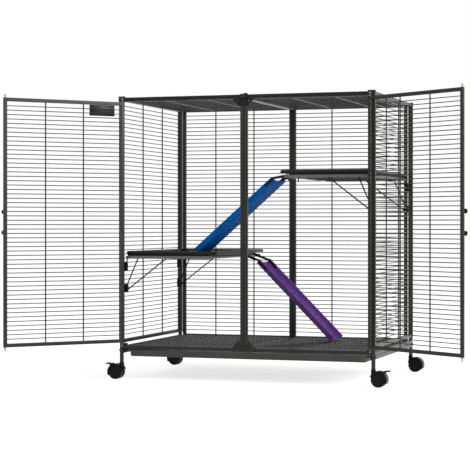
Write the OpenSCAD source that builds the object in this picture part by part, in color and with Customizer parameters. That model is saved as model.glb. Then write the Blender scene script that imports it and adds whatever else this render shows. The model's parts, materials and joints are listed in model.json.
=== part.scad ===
// A large ferret cage on four swivel casters, shown with both front doors standing open.
// Millimetres, +Z up. The origin is on the floor under the middle of the cage.
// X runs to the right along the front, and Y runs back from the doors.

/* [Cage] */
// Width over the corner posts
cage_w = 914; // [860:2:980]
// Depth over the corner posts
cage_d = 606; // [560:2:660]
// Height of the top rails above the floor
cage_top = 980; // [960:5:1100]
// Seating gap between two parts that rest on each other
seat = 0.3; // [0.2:0.05:0.4]
// Running clearance of a pin in its bore, on the radius
running = 0.05; // [0.03:0.01:0.09]

/* [Frame tubes] */
// Width of the square corner posts
post_w = 16; // [15:0.5:18]
// Wall of the corner posts
post_wall = 1.5; // [1.2:0.1:2]
// Corner rounding of the square tubes
tube_round = 2; // [1:0.25:2.5]
// Height of the rails, also the width of the stiles of the panels
rail_h = 12.5; // [11:0.5:14]
// Thickness of the rails of the panels
rail_t = 12; // [11:0.5:13]
// Width of the front centre post
centre_w = 25.6; // [24:0.2:30]
// Width of the groove down the front centre post
groove_w = 4; // [3:0.5:6]
// Depth of that groove
groove_depth = 1.5; // [1:0.25:2.5]

/* [Wire] */
// Diameter of the close wires
wire_d = 3; // [2.6:0.1:3.4]
// Diameter of the stays that cross them
stay_d = 4.5; // [4:0.1:5]
// Wanted distance between close wires
wire_pitch = 14.8; // [12:0.1:20]
// Depth to which a wire is welded into a tube
wire_set = 1; // [0.6:0.1:1.2]
// Depth to which two crossing wires melt together
weld = 0.4; // [0.3:0.05:0.6]
// Distance of the stays of the side panels from the middle of the cage
side_stay_y = 97; // [60:1:140]
// Distance of the first stay of the back and top panels from the middle of the cage
back_stay_x = 152; // [120:1:170]

/* [Base] */
// Diameter of the round legs
leg_d = 14; // [12.5:0.5:15.5]
// Height of the lower ends of the legs
leg_z = 59; // [58:0.5:61]
// Height of the lower edge of the side panels
panel_z = 126.3; // [125:0.1:130]
// Length of the leg tips inside the corner posts
leg_tip = 26; // [15:1:40]
// Height of the underside of the front base rail
front_rail_z = 107; // [105:0.5:109]
// Height of the underside of the side base tubes
side_tube_z = 104; // [103:0.5:106]
// Height of the side base tubes
side_tube_h = 11.5; // [10:0.5:12]
// Height of the underside of the rear base rail
rear_rail_z = 95.5; // [93:0.5:97]
// Width of the ledges that carry the floor grates
ledge_w = 10; // [8:0.5:12]
// Thickness of those ledges
ledge_t = 2; // [1.5:0.25:2.5]
// Height of the top of those ledges
ledge_z = 110.5; // [109.5:0.25:112]
// Distance of the inner rail screws from the middle of the cage
screw_x1 = 64; // [58:1:90]
// Distance of the outer rail screws from the middle of the cage
screw_x2 = 395; // [300:1:400]
// Radius of the screw heads
screw_r = 4; // [3.2:0.2:5]
// Radius of the screw shanks
shank_r = 2.4; // [1.8:0.1:2.8]

/* [Pan] */
// Gap between the side walls of the pan and the faces of the cage
pan_inset = 37; // [36:0.5:40]
// Distance by which the pan sits to the right of the middle
pan_aside = 5; // [0:0.5:5]
// Height of the underside of the pan
pan_z = 80.5; // [76:0.5:84]
// Height of the top edge of the pan
pan_top = 102.8; // [101.5:0.1:102.8]
// Wall of the pan
pan_wall = 3; // [2:0.5:4]
// Slope of the lower side edges of the pan, across and up
pan_slope = 9; // [5:0.5:14]
// Width of the side lips of the pan
pan_lip = 14; // [12:0.5:14]
// Thickness of the side lips
pan_lip_t = 2.5; // [2:0.25:3]
// Distance of the rear end of the pan from the rear face of the cage
pan_rear_inset = 20; // [19:1:40]
// Height of the lower edge of the pan runners
runner_z = 91; // [89:0.5:94]
// Width of the runner ledges under the pan lips
runner_ledge = 15.5; // [14:0.5:16]
// Thickness of the runner ledges
runner_ledge_t = 2; // [1.5:0.25:2.5]
// Thickness of the runner tabs beside the legs
runner_tab_t = 2; // [1.5:0.25:2]

/* [Doors] */
// Distance of the hinge axes inside the faces of the posts
hinge_inset = 16; // [14:0.5:20]
// Distance of the hinge axes in front of the posts
hinge_out = 8.5; // [8.2:0.1:10]
// Thickness of the doors
door_t = 9; // [8:0.25:9.5]
// Gap between the closed doors
door_gap = 1.5; // [1:0.25:3]
// Height of the lower edge of the doors
door_z = 127.5; // [127.3:0.1:129]
// Distance of the upper edge of the doors below the top of the cage
door_drop = 17; // [15:0.5:24]
// Angle at which the left door stands open
left_open = 131.7; // [60:0.1:170]
// Angle at which the right door stands open
right_open = 144.3; // [60:0.1:170]
// Radius of the hinge pins and latch rods
pin_r = 3; // [2.5:0.1:3.1]
// Distance by which pins and rods stand out of the door
pin_out = 11.5; // [10.5:0.25:12]
// Depth of the hinge pins inside the stile
pin_in = 20; // [12:1:30]
// Radius of the collar under the hinge stile
collar_r = 5.5; // [4.5:0.25:6]
// Travel of a latch rod when the knobs are pinched together
latch_travel = 12.2; // [12:0.2:14]
// Height of the middle of the two latch knobs
knob_z = 546; // [480:1:700]
// Distance between the two latch knobs
knob_gap = 69; // [60:1:90]
// Radius of the latch knobs
knob_r = 9; // [7:0.5:11]
// Length of the latch knobs in front of the stile
knob_out = 15; // [11:0.5:18]
// Coils of the latch spring
spring_coils = 8; // [6:1:12]
// Wire of the latch spring
spring_wire = 0.9; // [0.7:0.1:1.1]
// Distance of the door plate from the hinge axis
plate_x = 27; // [20:1:60]
// Width of the door plate
plate_w = 95; // [70:1:100]
// Height of the door plate
plate_h = 37; // [28:1:40]
// Width of the raised border of the door plate
plate_border = 4; // [3:0.5:6]

/* [Brackets] */
// Thickness of the bracket plates
bracket_t = 3.3; // [2.5:0.1:3.4]
// Thickness of the bracket tabs that take the pins
tab_t = 5; // [4:0.25:5.5]
// Clearance of a latch rod in its tab, on the radius
latch_clear = 0.4; // [0.35:0.05:0.6]
// Half the width of the lower centre bracket
foot_half = 41; // [36:1:50]
// Height of the lower centre bracket
foot_h = 44; // [36:1:50]
// Half the width of the upper centre bracket
head_half = 38; // [32:1:48]
// Depth of the upper centre bracket below the front rail
head_drop = 25; // [20:1:32]
// Width of the hinge blocks at the top corners
corner_w = 25; // [24:0.5:28]

/* [Shelves] */
// Height of the underside of the lower shelf frame
lower_shelf_z = 419; // [380:1:460]
// Height of the underside of the upper shelf frame
upper_shelf_z = 696; // [670:1:760]
// Distance of the free edge of the lower shelf from the middle of the cage
lower_free_x = 122; // [100:1:160]
// Distance of the free edge of the upper shelf from the middle of the cage
upper_free_x = 139; // [110:1:170]
// Gap between a shelf frame and the corner posts
shelf_inset = 3; // [2:0.5:6]
// Distance of the front edge of the shelf frames from the front face of the cage
shelf_front_inset = 19; // [18:1:30]
// Distance of the rear edge of the shelf frames from the rear face of the cage
shelf_rear_inset = 35; // [24:1:40]
// Size of the square bars of the shelf frames
bar = 10; // [8:0.5:12]
// Radius of the round bar at the free edge
hook_bar_r = 4; // [3.5:0.1:4.5]
// Height of the inset foot of the trays
tray_foot = 5; // [4:0.5:7]
// Height of the rounded rim of the trays
tray_rim = 12; // [10:0.5:14]
// Distance by which the rim reaches past the free edge
tray_over = 17; // [12:0.5:22]
// Width of the rim seen from above
rim_w = 12; // [8:0.5:16]
// Thickness of the tray floor
tray_floor = 4.5; // [3:0.5:6]
// Diameter of the support rods
rod_d = 4.5; // [3.5:0.25:5]
// Height of the top of the upper clips below the shelf
clip_drop = 11; // [8:0.5:16]
// Height of the upper clips
clip_h = 31; // [20:1:36]
// Height of the lower blocks
block_h = 29; // [20:1:36]
// Distance of the top of the lower blocks below the shelf
block_drop = 89; // [70:1:110]
// Depth of the clips and blocks from front to back
clip_d = 12; // [9:0.5:14]
// Reach of the upper clips from the wires
clip_reach = 15; // [13:0.5:17]
// Reach of the lower blocks from the wires
block_reach = 17; // [15:0.5:19]
// Distance of the short support rod's head from the wires
short_reach = 55; // [40:1:80]
// Distance of the long support rod's head from the wires
long_reach = 161; // [120:1:200]

/* [Ramps] */
// Width of the ramps
ramp_w = 128; // [110:1:140]
// Height of the ramp walls
ramp_h = 20; // [16:0.5:24]
// Thickness of the ramp sheet
ramp_t = 2.5; // [2:0.25:3.5]
// Rounding of the lower edges of the ramps
ramp_round = 10; // [6:0.5:14]
// Distance of the ramp's underside above the hook axis, square to the slope
ramp_lift = 14.5; // [12:0.5:18]
// Distance from the hook axis to the top end of the purple ramp
purple_arm = 52; // [44:1:58]
// Length of the purple ramp
purple_len = 394; // [375:1:420]
// Near edge of the purple ramp, behind the middle
purple_y = 76; // [40:1:110]
// Distance from the hook axis to the top end of the blue ramp
blue_arm = 39; // [30:1:50]
// Length of the blue ramp
blue_len = 375; // [350:1:400]
// Gap between the front of the shelves and the near edge of the blue ramp
blue_gap = 26; // [20:1:60]
// Thickness of the hook plates
hook_t = 3; // [2.5:0.25:4]
// Width of the hook plates
hook_w = 8; // [6:0.5:10]
// Length of the hook plates along the ramp wall
hook_len = 42; // [30:1:60]

/* [Casters] */
// Radius of the caster wheels
wheel_r = 25; // [22:0.5:25]
// Width of each wheel
wheel_w = 15; // [12:0.5:17]
// Distance from the stem to the wheel axle
caster_trail = 19; // [16:0.5:22]
// Half the thickness of the web between the wheels
web_half = 3.5; // [3:0.25:5]
// Gap between the wheels and the hood
hood_gap = 1.3; // [1:0.1:2]
// Thickness of the hood
hood_t = 3; // [2:0.25:3.5]
// Radius of the caster stems
stem_r = 4; // [3.5:0.1:4.5]
// Length of the stem inside the leg
stem_in = 34; // [20:1:36]
// Radius of the wheel axles
axle_r = 3; // [2.5:0.1:3.5]
// Length of the brake levers
lever_len = 18; // [14:0.5:22]
// Width of the brake levers
lever_w = 24; // [18:0.5:30]
// Radius of the brake lever pins
lever_pin_r = 1.5; // [1.2:0.1:1.8]

/* [Hidden] */
$fn = 32;

left = -1;
right = 1;
front = -1;
rear = 1;
upper = 1;
lower = -1;

// Half sizes and centre lines of the corner posts
half_w = cage_w / 2;
half_d = cage_d / 2;
post_x = half_w - post_w / 2;
post_y = half_d - post_w / 2;
post_inner = post_w - 2 * post_wall;
post_face_x = half_w - post_w;
post_face_y = half_d - post_w;
// Distance between the centre lines of a close wire and the stay that crosses it
stay_offset = (wire_d + stay_d) / 2 - weld;

// Base
leg_r = leg_d / 2;
leg_top = panel_z - seat;
rail_top = front_rail_z + rail_h;
front_rail_back = -half_d + rail_h;
rear_rail_y = post_face_y + 2;
rear_rail_top = rear_rail_z + rail_h;
side_tube_top = side_tube_z + side_tube_h;
grate_cross_z = ledge_z + seat + stay_d / 2;
grate_wire_z = grate_cross_z + stay_offset;
grate_top = grate_wire_z + wire_d / 2;
screw_z = front_rail_z + 8.5;
top_screw_z = cage_top - rail_h / 2;
runner_screw_z = (runner_z + side_tube_z) / 2 + 3;
runner_ledge_z = pan_top - pan_lip_t - seat;
runner_inner = post_x - leg_r - seat;
pan_half = half_w - pan_inset;
pan_rear = half_d - pan_rear_inset;

// Panels
back_z = rear_rail_top + seat;
back_y = rear_rail_y + rail_t / 2 + seat;
back_end = post_face_x - 4;
top_panel_top = cage_top - 2.5;
top_panel_z = top_panel_top - rail_t;
top_panel_front = front_rail_back + seat;
top_panel_back = back_y - rail_t / 2 - seat;
centre_z = rail_top + seat;
centre_top = cage_top - rail_h - seat;

// Doors
hinge_x = half_w - hinge_inset;
hinge_y = -half_d - hinge_out;
latch_x = (door_gap + rail_h) / 2;
door_reach = hinge_x - latch_x;
door_top = cage_top - door_drop;
pin_low = door_z - pin_out;
pin_high = door_top + pin_out;
rod_bore_r = pin_r + 0.3;
low_knob_z = knob_z - knob_gap / 2;
high_knob_z = knob_z + knob_gap / 2;
rod_tail = 8.5;
knob_stem_r = pin_r - 0.4;
knob_pin_r = 1.4;
spring_r = pin_r - spring_wire / 2;
plate_top = door_top - rail_h - seat;

// Brackets
bracket_back = -half_d - seat;
bracket_front = bracket_back - bracket_t;
tab_reach = hinge_y - pin_r - 4;
low_tab_top = pin_low + tab_t + 3;
high_tab_z = door_top + 3.3;
hinge_tab_top = door_z - 1.5;
hinge_tab_z = rail_top + seat;
hinge_tab_half = pin_r + 5;

// Shelves
shelf_front = half_d - shelf_front_inset;
shelf_rear = half_d - shelf_rear_inset;
shelf_end_x = post_face_x - shelf_inset;
wire_face_x = post_x + stay_offset / 2 - wire_d / 2 - seat;
tray_inset = 13;

// Ramps
hook_inner_r = hook_bar_r + seat;
hook_outer_r = hook_inner_r + 4;
blue_y = -shelf_front + blue_gap;

// Casters
hood_r = wheel_r + hood_gap + hood_t;
stem_shoulder = leg_z - seat;
wheel_out = web_half + seat + wheel_w;
lever_out = hood_r + 4.2;
lever_turn = 55;
lever_hub_r = 3;

// Outline of a rectangle w by d around the middle, its corners rounded in four steps
function rounded(w, d, r) = [
    for (corner = [[1, 1, 0], [-1, 1, 90], [-1, -1, 180], [1, -1, 270]])
        for (step = [0 : 4])
            let (a = corner[2] + step * 22.5)
                [corner[0] * (w / 2 - r) + r * cos(a), corner[1] * (d / 2 - r) + r * sin(a)]
];

// Points on an arc around a centre, from one angle to another
function arc(cx, cy, r, from, to, steps) = [
    for (i = [0 : steps])
        let (a = from + (to - from) * i / steps)
            [cx + r * cos(a), cy + r * sin(a)]
];

// Slope at which a ramp of this reach rests with its foot below its hook axis
function ramp_slope(reach, drop) =
    asin(drop / norm([reach, ramp_lift])) + atan(ramp_lift / reach);

// Round wire from one point to another
module wire(from, to, d) {
    run = to - from;
    long = norm(run);
    translate(from)
        rotate([0, acos(run[2] / long), atan2(run[1], run[0])])
            cylinder(d = d, h = long, $fn = 24);
}

// Box from one corner to the opposite corner
module block(from, to) {
    translate([for (i = [0 : 2]) min(from[i], to[i])])
        cube([for (i = [0 : 2]) abs(to[i] - from[i])]);
}

// Solid tube with rounded edges along Z, centred in plan
module upright(w, d, h, r = tube_round) {
    linear_extrude(h)
        polygon(rounded(w, d, r));
}

// The same along X, starting at x = 0
module crossbar(h, d, long, r = tube_round) {
    rotate([0, 90, 0])
        linear_extrude(long)
            polygon(rounded(h, d, r));
}

// Close wires along X over an opening w wide and h high, crossed by stays on one face
module wire_grid(w, h, stays, face) {
    gaps = round(h / wire_pitch);
    off = face * stay_offset / 2;
    for (i = [1 : gaps - 1])
        wire([-wire_set, -off, i * h / gaps], [w + wire_set, -off, i * h / gaps], wire_d);
    for (x = stays)
        wire([x, off, -wire_set], [x, off, h + wire_set], stay_d);
}

// Welded panel in the XZ plane with its lower corner at the origin
module wire_panel(w, h, t, stays, face) {
    for (x = [rail_h / 2, w - rail_h / 2])
        translate([x, 0, 0])
            upright(rail_h, t, h);
    for (z = [rail_h / 2, h - rail_h / 2])
        translate([rail_h - wire_set, 0, z])
            crossbar(rail_h, t, w - 2 * rail_h + 2 * wire_set);
    translate([rail_h, 0, rail_h])
        wire_grid(w - 2 * rail_h, h - 2 * rail_h, [for (x = stays) x - rail_h], face);
}

// Side wall: two hollow posts, two rails, wires from front to back and two stays inside
module side_panel(side) {
    tall = cage_top - panel_z;
    deep = cage_d - 2 * post_w;
    color("dimgray")
        translate([side * post_x, 0, panel_z])
            union() {
                for (y = [-post_y, post_y])
                    translate([0, y, 0])
                        difference() {
                            upright(post_w, post_w, tall);
                            translate([0, 0, -1])
                                upright(post_inner, post_inner, tall + 2, 0.5);
                        }
                rotate([0, 0, 90])
                    translate([-deep / 2, 0, 0]) {
                        for (z = [rail_h / 2, tall - rail_h / 2])
                            translate([-wire_set, 0, z])
                                crossbar(rail_h, rail_t, deep + 2 * wire_set);
                        translate([0, 0, rail_h])
                            wire_grid(deep, tall - 2 * rail_h,
                                [deep / 2 - side_stay_y, deep / 2 + side_stay_y], side);
                    }
            }
}

// Half of the rear wall
module back_panel(side) {
    start = seat / 2;
    color("dimgray")
        mirror([side < 0 ? 1 : 0, 0, 0])
            translate([start, back_y, back_z])
                wire_panel(back_end - start, cage_top - back_z, rail_t,
                    [back_stay_x - start, 2 * back_stay_x - start], -1);
}

// Half of the roof, its wires running from side to side
module top_panel(side) {
    start = seat / 2;
    color("dimgray")
        mirror([side < 0 ? 1 : 0, 0, 0])
            translate([start, top_panel_back, top_panel_z + rail_t / 2])
                rotate([90, 0, 0])
                    wire_panel(post_face_x - seat - start, top_panel_back - top_panel_front,
                        rail_t, [back_stay_x - start, 2 * back_stay_x - start], -1);
}

// Rail over the doors, drilled for its screws
module front_top_rail() {
    color("dimgray")
        difference() {
            translate([-post_face_x + seat, -half_d + rail_h / 2, cage_top - rail_h / 2])
                crossbar(rail_h, rail_h, 2 * (post_face_x - seat));
            rail_screw_holes(top_screw_z);
        }
}

// Post between the doors, with a groove down its face
module centre_post() {
    color("dimgray")
        translate([0, -half_d + rail_h / 2, centre_z])
            difference() {
                upright(centre_w, rail_h, centre_top - centre_z);
                translate([0, -rail_h / 2, 0])
                    block([-groove_w / 2, -1, -1],
                        [groove_w / 2, groove_depth, centre_top - centre_z + 1]);
            }
}

// Places of the screws along a front rail
module rail_screw_holes(z) {
    for (x = [-screw_x2, -screw_x1, screw_x1, screw_x2])
        translate([x, -half_d - 1, z])
            rotate([-90, 0, 0])
                cylinder(r = shank_r + running, h = rail_h + 2);
}

// Hole for a latch rod in a bracket tab
module latch_holes(z) {
    for (x = [-latch_x, latch_x])
        translate([x, hinge_y, z - 1])
            cylinder(r = pin_r + latch_clear, h = tab_t + 2);
}

// Upper latch bracket: front plate, two pierced gussets, top lip and the tab for the rods
module top_centre_bracket() {
    gusset_z = high_tab_z;
    low_z = gusset_z - head_drop;
    half = centre_w / 2;
    color([0.13, 0.13, 0.14])
        difference() {
            union() {
                translate([0, bracket_back, 0])
                    rotate([90, 0, 0])
                        linear_extrude(bracket_t)
                            polygon([[-half, low_z], [half, low_z], [head_half, gusset_z - 3],
                                [head_half, gusset_z], [half, gusset_z], [half, cage_top + 2],
                                [-half, cage_top + 2], [-half, gusset_z],
                                [-head_half, gusset_z], [-head_half, gusset_z - 3]]);
                block([-half, bracket_front, cage_top + seat],
                    [half, front_rail_back, cage_top + 2]);
                block([-latch_x - hinge_tab_half, tab_reach, high_tab_z],
                    [latch_x + hinge_tab_half, bracket_back, high_tab_z + tab_t]);
            }
            latch_holes(high_tab_z);
            for (side = [left, right])
                translate([0, bracket_back + 1, 0])
                    rotate([90, 0, 0])
                        linear_extrude(bracket_t + 2)
                            polygon([[side * (half + 2), low_z + 8],
                                [side * (head_half - 7), gusset_z - 4],
                                [side * (half + 2), gusset_z - 4]]);
        }
}

// Lower latch bracket: winged plate over the base rail and the tab for the rods
module bottom_centre_bracket() {
    low_z = front_rail_z - 1;
    half = centre_w / 2;
    color([0.13, 0.13, 0.14])
        difference() {
            union() {
                translate([0, bracket_back, 0])
                    rotate([90, 0, 0])
                        linear_extrude(bracket_t)
                            polygon([[-foot_half, low_z], [foot_half, low_z],
                                [foot_half, rail_top], [half + 3, low_z + foot_h],
                                [-half - 3, low_z + foot_h], [-foot_half, rail_top]]);
                block([-latch_x - hinge_tab_half, tab_reach, low_tab_top - tab_t],
                    [latch_x + hinge_tab_half, bracket_back, low_tab_top]);
            }
            latch_holes(low_tab_top - tab_t);
            block([-groove_w / 2, bracket_front - 1, low_z - 1],
                [groove_w / 2, bracket_front + groove_depth, low_tab_top - tab_t - 1]);
            block([-groove_w / 2, bracket_front - 1, low_tab_top + 1],
                [groove_w / 2, bracket_front + groove_depth, low_z + foot_h + 1]);
        }
}

// Four hinge brackets: tabs on the base rail, and blocks at the top corners
module hinge_brackets() {
    color([0.13, 0.13, 0.14])
        for (side = [left, right])
            difference() {
                union() {
                    block([side * (hinge_x - hinge_tab_half - 5), tab_reach, hinge_tab_z],
                        [side * (post_x - leg_r - 1), front_rail_back, hinge_tab_top]);
                    block([side * (hinge_x - hinge_tab_half), tab_reach, hinge_tab_z],
                        [side * (hinge_x + hinge_tab_half), bracket_back, hinge_tab_top]);
                    block([side * (half_w - corner_w), bracket_front, high_tab_z],
                        [side * half_w, bracket_back, cage_top + 4]);
                    block([side * (hinge_x - hinge_tab_half), tab_reach, high_tab_z],
                        [side * (hinge_x + hinge_tab_half), bracket_back, high_tab_z + tab_t]);
                }
                translate([side * hinge_x, hinge_y, hinge_tab_z - 1])
                    cylinder(r = pin_r + running, h = cage_top);
            }
}

// Welded base: four legs, front and rear rails, side tubes and the grate ledges
module base_frame() {
    color("dimgray")
        difference() {
            union() {
                for (x = [-post_x, post_x])
                    for (y = [-post_y, post_y])
                        translate([x, y, 0]) {
                            translate([0, 0, leg_z])
                                cylinder(r = leg_r, h = leg_top - leg_z);
                            translate([0, 0, leg_top - 1])
                                cylinder(r = post_inner / 2 - seat, h = leg_tip + 1);
                        }
                translate([-post_x, -half_d + rail_h / 2, front_rail_z + rail_h / 2])
                    crossbar(rail_h, rail_h, 2 * post_x);
                translate([-post_x, rear_rail_y + rail_h / 2, rear_rail_z + rail_h / 2])
                    crossbar(rail_h, rail_h, 2 * post_x);
                for (x = [-post_x, post_x])
                    translate([x, -post_y, side_tube_z + side_tube_h / 2])
                        rotate([0, 0, 90])
                            crossbar(side_tube_h, rail_h, 2 * post_y);
                ledge_x = post_face_x - 2;
                block([-ledge_x, front_rail_back - 1, ledge_z - ledge_t],
                    [ledge_x, front_rail_back + ledge_w, ledge_z]);
                block([-ledge_x, rear_rail_y - ledge_w, ledge_z - ledge_t],
                    [ledge_x, rear_rail_y - 0.2, ledge_z]);
                block([-ledge_x, rear_rail_y - ledge_t, rear_rail_z + 2.5],
                    [ledge_x, rear_rail_y + 0.5, rear_rail_top - 1]);
                block([-ledge_x, rear_rail_y - ledge_t, rear_rail_z + 2.5],
                    [ledge_x, rear_rail_y - 0.2, ledge_z - 1]);
            }
            rail_screw_holes(screw_z);
            for (x = [-post_x, post_x])
                for (y = [-post_y, post_y]) {
                    translate([x, y, leg_z - 1])
                        cylinder(r = stem_r + running, h = stem_in + 3);
                    translate([x - leg_r - 3, y, runner_screw_z])
                        rotate([0, 90, 0])
                            cylinder(r = shank_r + running, h = leg_d + 6);
                }
        }
}

// Runner for one side of the pan: bar between the legs, ledge and a screw tab in front
module pan_runner(side) {
    bar_y = post_y - leg_r - seat;
    tab_x = runner_inner - runner_tab_t;
    color("gray")
        difference() {
            union() {
                block([side * (post_x - rail_h / 2 + 0.5), -bar_y, runner_z],
                    [side * (post_x + rail_h / 2), bar_y, side_tube_z - seat]);
                block([side * (runner_inner + 0.5), -bar_y, runner_z],
                    [side * (post_x - rail_h / 2 + 1), bar_y, side_tube_z - seat]);
                block([side * tab_x, -bar_y + 12, runner_z],
                    [side * runner_inner, -post_y - 6, side_tube_z - seat]);
                block([side * (runner_inner - 0.5), -bar_y, runner_z],
                    [side * (runner_inner + 1), bar_y, side_tube_z - seat]);
                block([side * (post_face_x - runner_ledge + 1.5), -post_y - 6,
                        runner_ledge_z - runner_ledge_t],
                    [side * (tab_x + 0.5), post_face_y - 2, runner_ledge_z]);
                block([side * (tab_x - 0.5), -bar_y, runner_ledge_z - runner_ledge_t],
                    [side * runner_inner, bar_y, runner_ledge_z]);
            }
            translate([side * (tab_x - 1), -post_y, runner_screw_z])
                rotate([0, side * 90, 0])
                    cylinder(r = shank_r + running, h = 5);
        }
}

// Plugs in the tops of the corner posts
module post_caps() {
    color([0.13, 0.13, 0.14])
        for (x = [-post_x, post_x])
            for (y = [-post_y, post_y])
                translate([x, y, cage_top]) {
                    translate([0, 0, seat])
                        upright(post_w, post_w, 3.7);
                    translate([0, 0, -9])
                        upright(post_inner - 2 * seat, post_inner - 2 * seat, 10, 0.5);
                }
}

// Domed screw, its head standing on the XY plane and its shank below
module screw(long) {
    rotate_extrude()
        polygon(concat([[0, -long], [shank_r, -long], [shank_r, 0], [screw_r, 0]],
            arc(0, -screw_r * 0.75, screw_r * 1.25, 36.87, 90, 6)));
}

// Screws of the two front rails and the legs, and the dome over the centre post
module frame_screws() {
    color("black") {
        for (z = [screw_z, top_screw_z])
            for (x = [-screw_x2, -screw_x1, screw_x1, screw_x2])
                translate([x, -half_d - seat, z])
                    rotate([90, 0, 0])
                        screw(rail_h - 1);
        for (side = [left, right])
            for (y = [-post_y, post_y])
                translate([side * (post_x + leg_r + seat), y, runner_screw_z])
                    rotate([0, side * 90, 0])
                        screw(leg_d + runner_tab_t);
        translate([5, -half_d + rail_h / 2, cage_top + 2 + seat])
            rotate_extrude()
                polygon(concat([[0, 0], [7, 0]], arc(0, -3, 7.6, 23.25, 90, 6)));
    }
}

// Floor grate: five cross wires under close wires that run from front to back
module floor_grate(side) {
    near = front_rail_back + 6;
    far = rear_rail_y - 5.5;
    inner = 3;
    outer = post_face_x - 2;
    count = round((outer - inner) / wire_pitch);
    color("dimgray")
        union() {
            for (i = [0 : 4])
                let (y = near + i * (far - near) / 4)
                    wire([side * (inner - 1.5), y, grate_cross_z],
                        [side * (outer + 1.5), y, grate_cross_z], stay_d);
            for (i = [0 : count])
                let (x = side * (inner + i * (outer - inner) / count))
                    wire([x, near - 1.5, grate_wire_z], [x, far + 1.5, grate_wire_z], wire_d);
        }
}

// Section of the pan: upright walls over a sloping foot, w across the middle
function pan_section(w, wall, top) = [
    [-w / 2 + wall, top],
    [-w / 2 + wall, pan_z + pan_slope + 0.6 * wall],
    [-w / 2 + pan_slope + 0.6 * wall, pan_z + wall],
    [w / 2 - pan_slope - 0.6 * wall, pan_z + wall],
    [w / 2 - wall, pan_z + pan_slope + 0.6 * wall],
    [w / 2 - wall, top]];

// Body of the pan around the middle, its faces moved inwards by the wall
module pan_body(long, wall, top) {
    intersection() {
        rotate([90, 0, 0])
            linear_extrude(long, center = true)
                polygon(pan_section(2 * pan_half, wall, top));
        rotate([90, 0, 90])
            linear_extrude(2 * pan_half, center = true)
                polygon(pan_section(long, wall, top));
    }
}

// Shallow pull-out pan with sloping lower edges and a lip on each side
module floor_pan() {
    long = half_d + pan_rear;
    color([0.27, 0.27, 0.24])
        translate([pan_aside, pan_rear - long / 2, 0])
            union() {
                difference() {
                    pan_body(long, 0, pan_top);
                    pan_body(long, pan_wall, pan_top + 1);
                }
                for (side = [left, right])
                    block([side * (pan_half - 1), -long / 2, pan_top - pan_lip_t],
                        [side * (pan_half + pan_lip), long / 2, pan_top]);
            }
}

// Centre lines of the two side bars of a shelf frame, where its supports stand
function shelf_bars() = [-shelf_front + bar / 2, shelf_rear - bar / 2];

// Support rods of one shelf, with an amount to add to their diameter
module support_rods(side, z, extra) {
    for (y = shelf_bars()) {
        wire([side * (wire_face_x - clip_reach + 5), y, z - clip_drop - 9],
            [side * (shelf_end_x - bar / 2), y, z + 4], rod_d + extra);
        wire([side * (wire_face_x - block_reach + 5), y, z - block_drop - 6],
            [side * (wire_face_x - short_reach), y, z + 3], rod_d + extra);
        wire([side * (wire_face_x - block_reach + 5), y, z - block_drop - block_h + 7],
            [side * (wire_face_x - long_reach), y, z + 3], rod_d + extra);
    }
}

// Frame of one shelf: three square bars, a round bar at the free edge and three wires
module shelf_frame(side, z, free_x) {
    mid = z + bar / 2;
    deep = shelf_front + shelf_rear;
    color("gray")
        difference() {
            union() {
                for (y = shelf_bars())
                    translate([side > 0 ? free_x : -shelf_end_x, y, mid])
                        crossbar(bar, bar, shelf_end_x - free_x, 1.5);
                translate([side * (shelf_end_x - bar / 2), -shelf_front + 1, mid])
                    rotate([0, 0, 90])
                        crossbar(bar, bar, deep - 2, 1.5);
                wire([side * free_x, -shelf_front + 1, mid],
                    [side * free_x, shelf_rear - 1, mid], 2 * hook_bar_r);
                for (share = [-1, 0, 1])
                    let (y = (shelf_rear - shelf_front) / 2 + share * deep / 4)
                        wire([side * (free_x + 1), y, mid - 0.6],
                            [side * (shelf_end_x - bar + 1), y, mid - 0.6], stay_d);
            }
            support_rods(side, z, 2 * seat);
        }
}

// Slab with a rounded edge all round, w by d by h, centred in plan
module bullnose_slab(w, d, h) {
    intersection() {
        rotate([90, 0, 90])
            linear_extrude(w, center = true)
                polygon(bullnose(d, h));
        rotate([90, 0, 0])
            linear_extrude(d, center = true)
                polygon(bullnose(w, h));
    }
}

// Section of that slab, standing on the axis
function bullnose(w, h) = concat(
    arc(w / 2 - h / 2, h / 2, h / 2, -90, 90, 10),
    arc(-w / 2 + h / 2, h / 2, h / 2, 90, 270, 10));

// Plastic tray on a shelf frame: rim, sunken floor and inset foot
module shelf_tray(side, z, free_x) {
    w = shelf_end_x - free_x + tray_over;
    d = shelf_front + shelf_rear + 4;
    foot_z = z + bar + seat;
    rim_z = foot_z + tray_foot - seat;
    mid_x = side * (shelf_end_x - w / 2);
    mid_y = (shelf_rear - shelf_front) / 2;
    foot_w = w - tray_over - tray_inset - 4;
    foot_x = side * (shelf_end_x - 4 - foot_w / 2);
    color([0.16, 0.16, 0.17])
        union() {
            translate([mid_x, mid_y, rim_z])
                difference() {
                    bullnose_slab(w, d, tray_rim);
                    translate([0, 0, tray_floor])
                        upright(w - 2 * rim_w, d - 2 * rim_w, tray_rim, 8);
                }
            translate([foot_x, mid_y, foot_z])
                difference() {
                    upright(foot_w, d - 10, rim_z - foot_z + 2, 6);
                    translate([0, 0, -1])
                        upright(foot_w - 6, d - 16, rim_z - foot_z + 1.2, 4);
                }
        }
}

// Clips and blocks that hold the support rods against the side wires
module shelf_clips(side, z) {
    color("black")
        difference() {
            for (y = shelf_bars()) {
                translate([side * (wire_face_x - clip_reach / 2), y, z - clip_drop - clip_h])
                    upright(clip_reach, clip_d, clip_h);
                translate([side * (wire_face_x - block_reach / 2), y,
                        z - block_drop - block_h])
                    upright(block_reach, clip_d, block_h);
            }
            support_rods(side, z, 2 * seat);
        }
}

module shelf_rods(side, z) {
    color("black")
        support_rods(side, z, 0);
}

// Ramp geometry, in a frame at the hook axis with X down the slope
module at_ramp(side, free_x, shelf_z, slope) {
    translate([side * free_x, 0, shelf_z + bar / 2])
        mirror([side > 0 ? 1 : 0, 0, 0])
            rotate([0, slope, 0])
                children();
}

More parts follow.
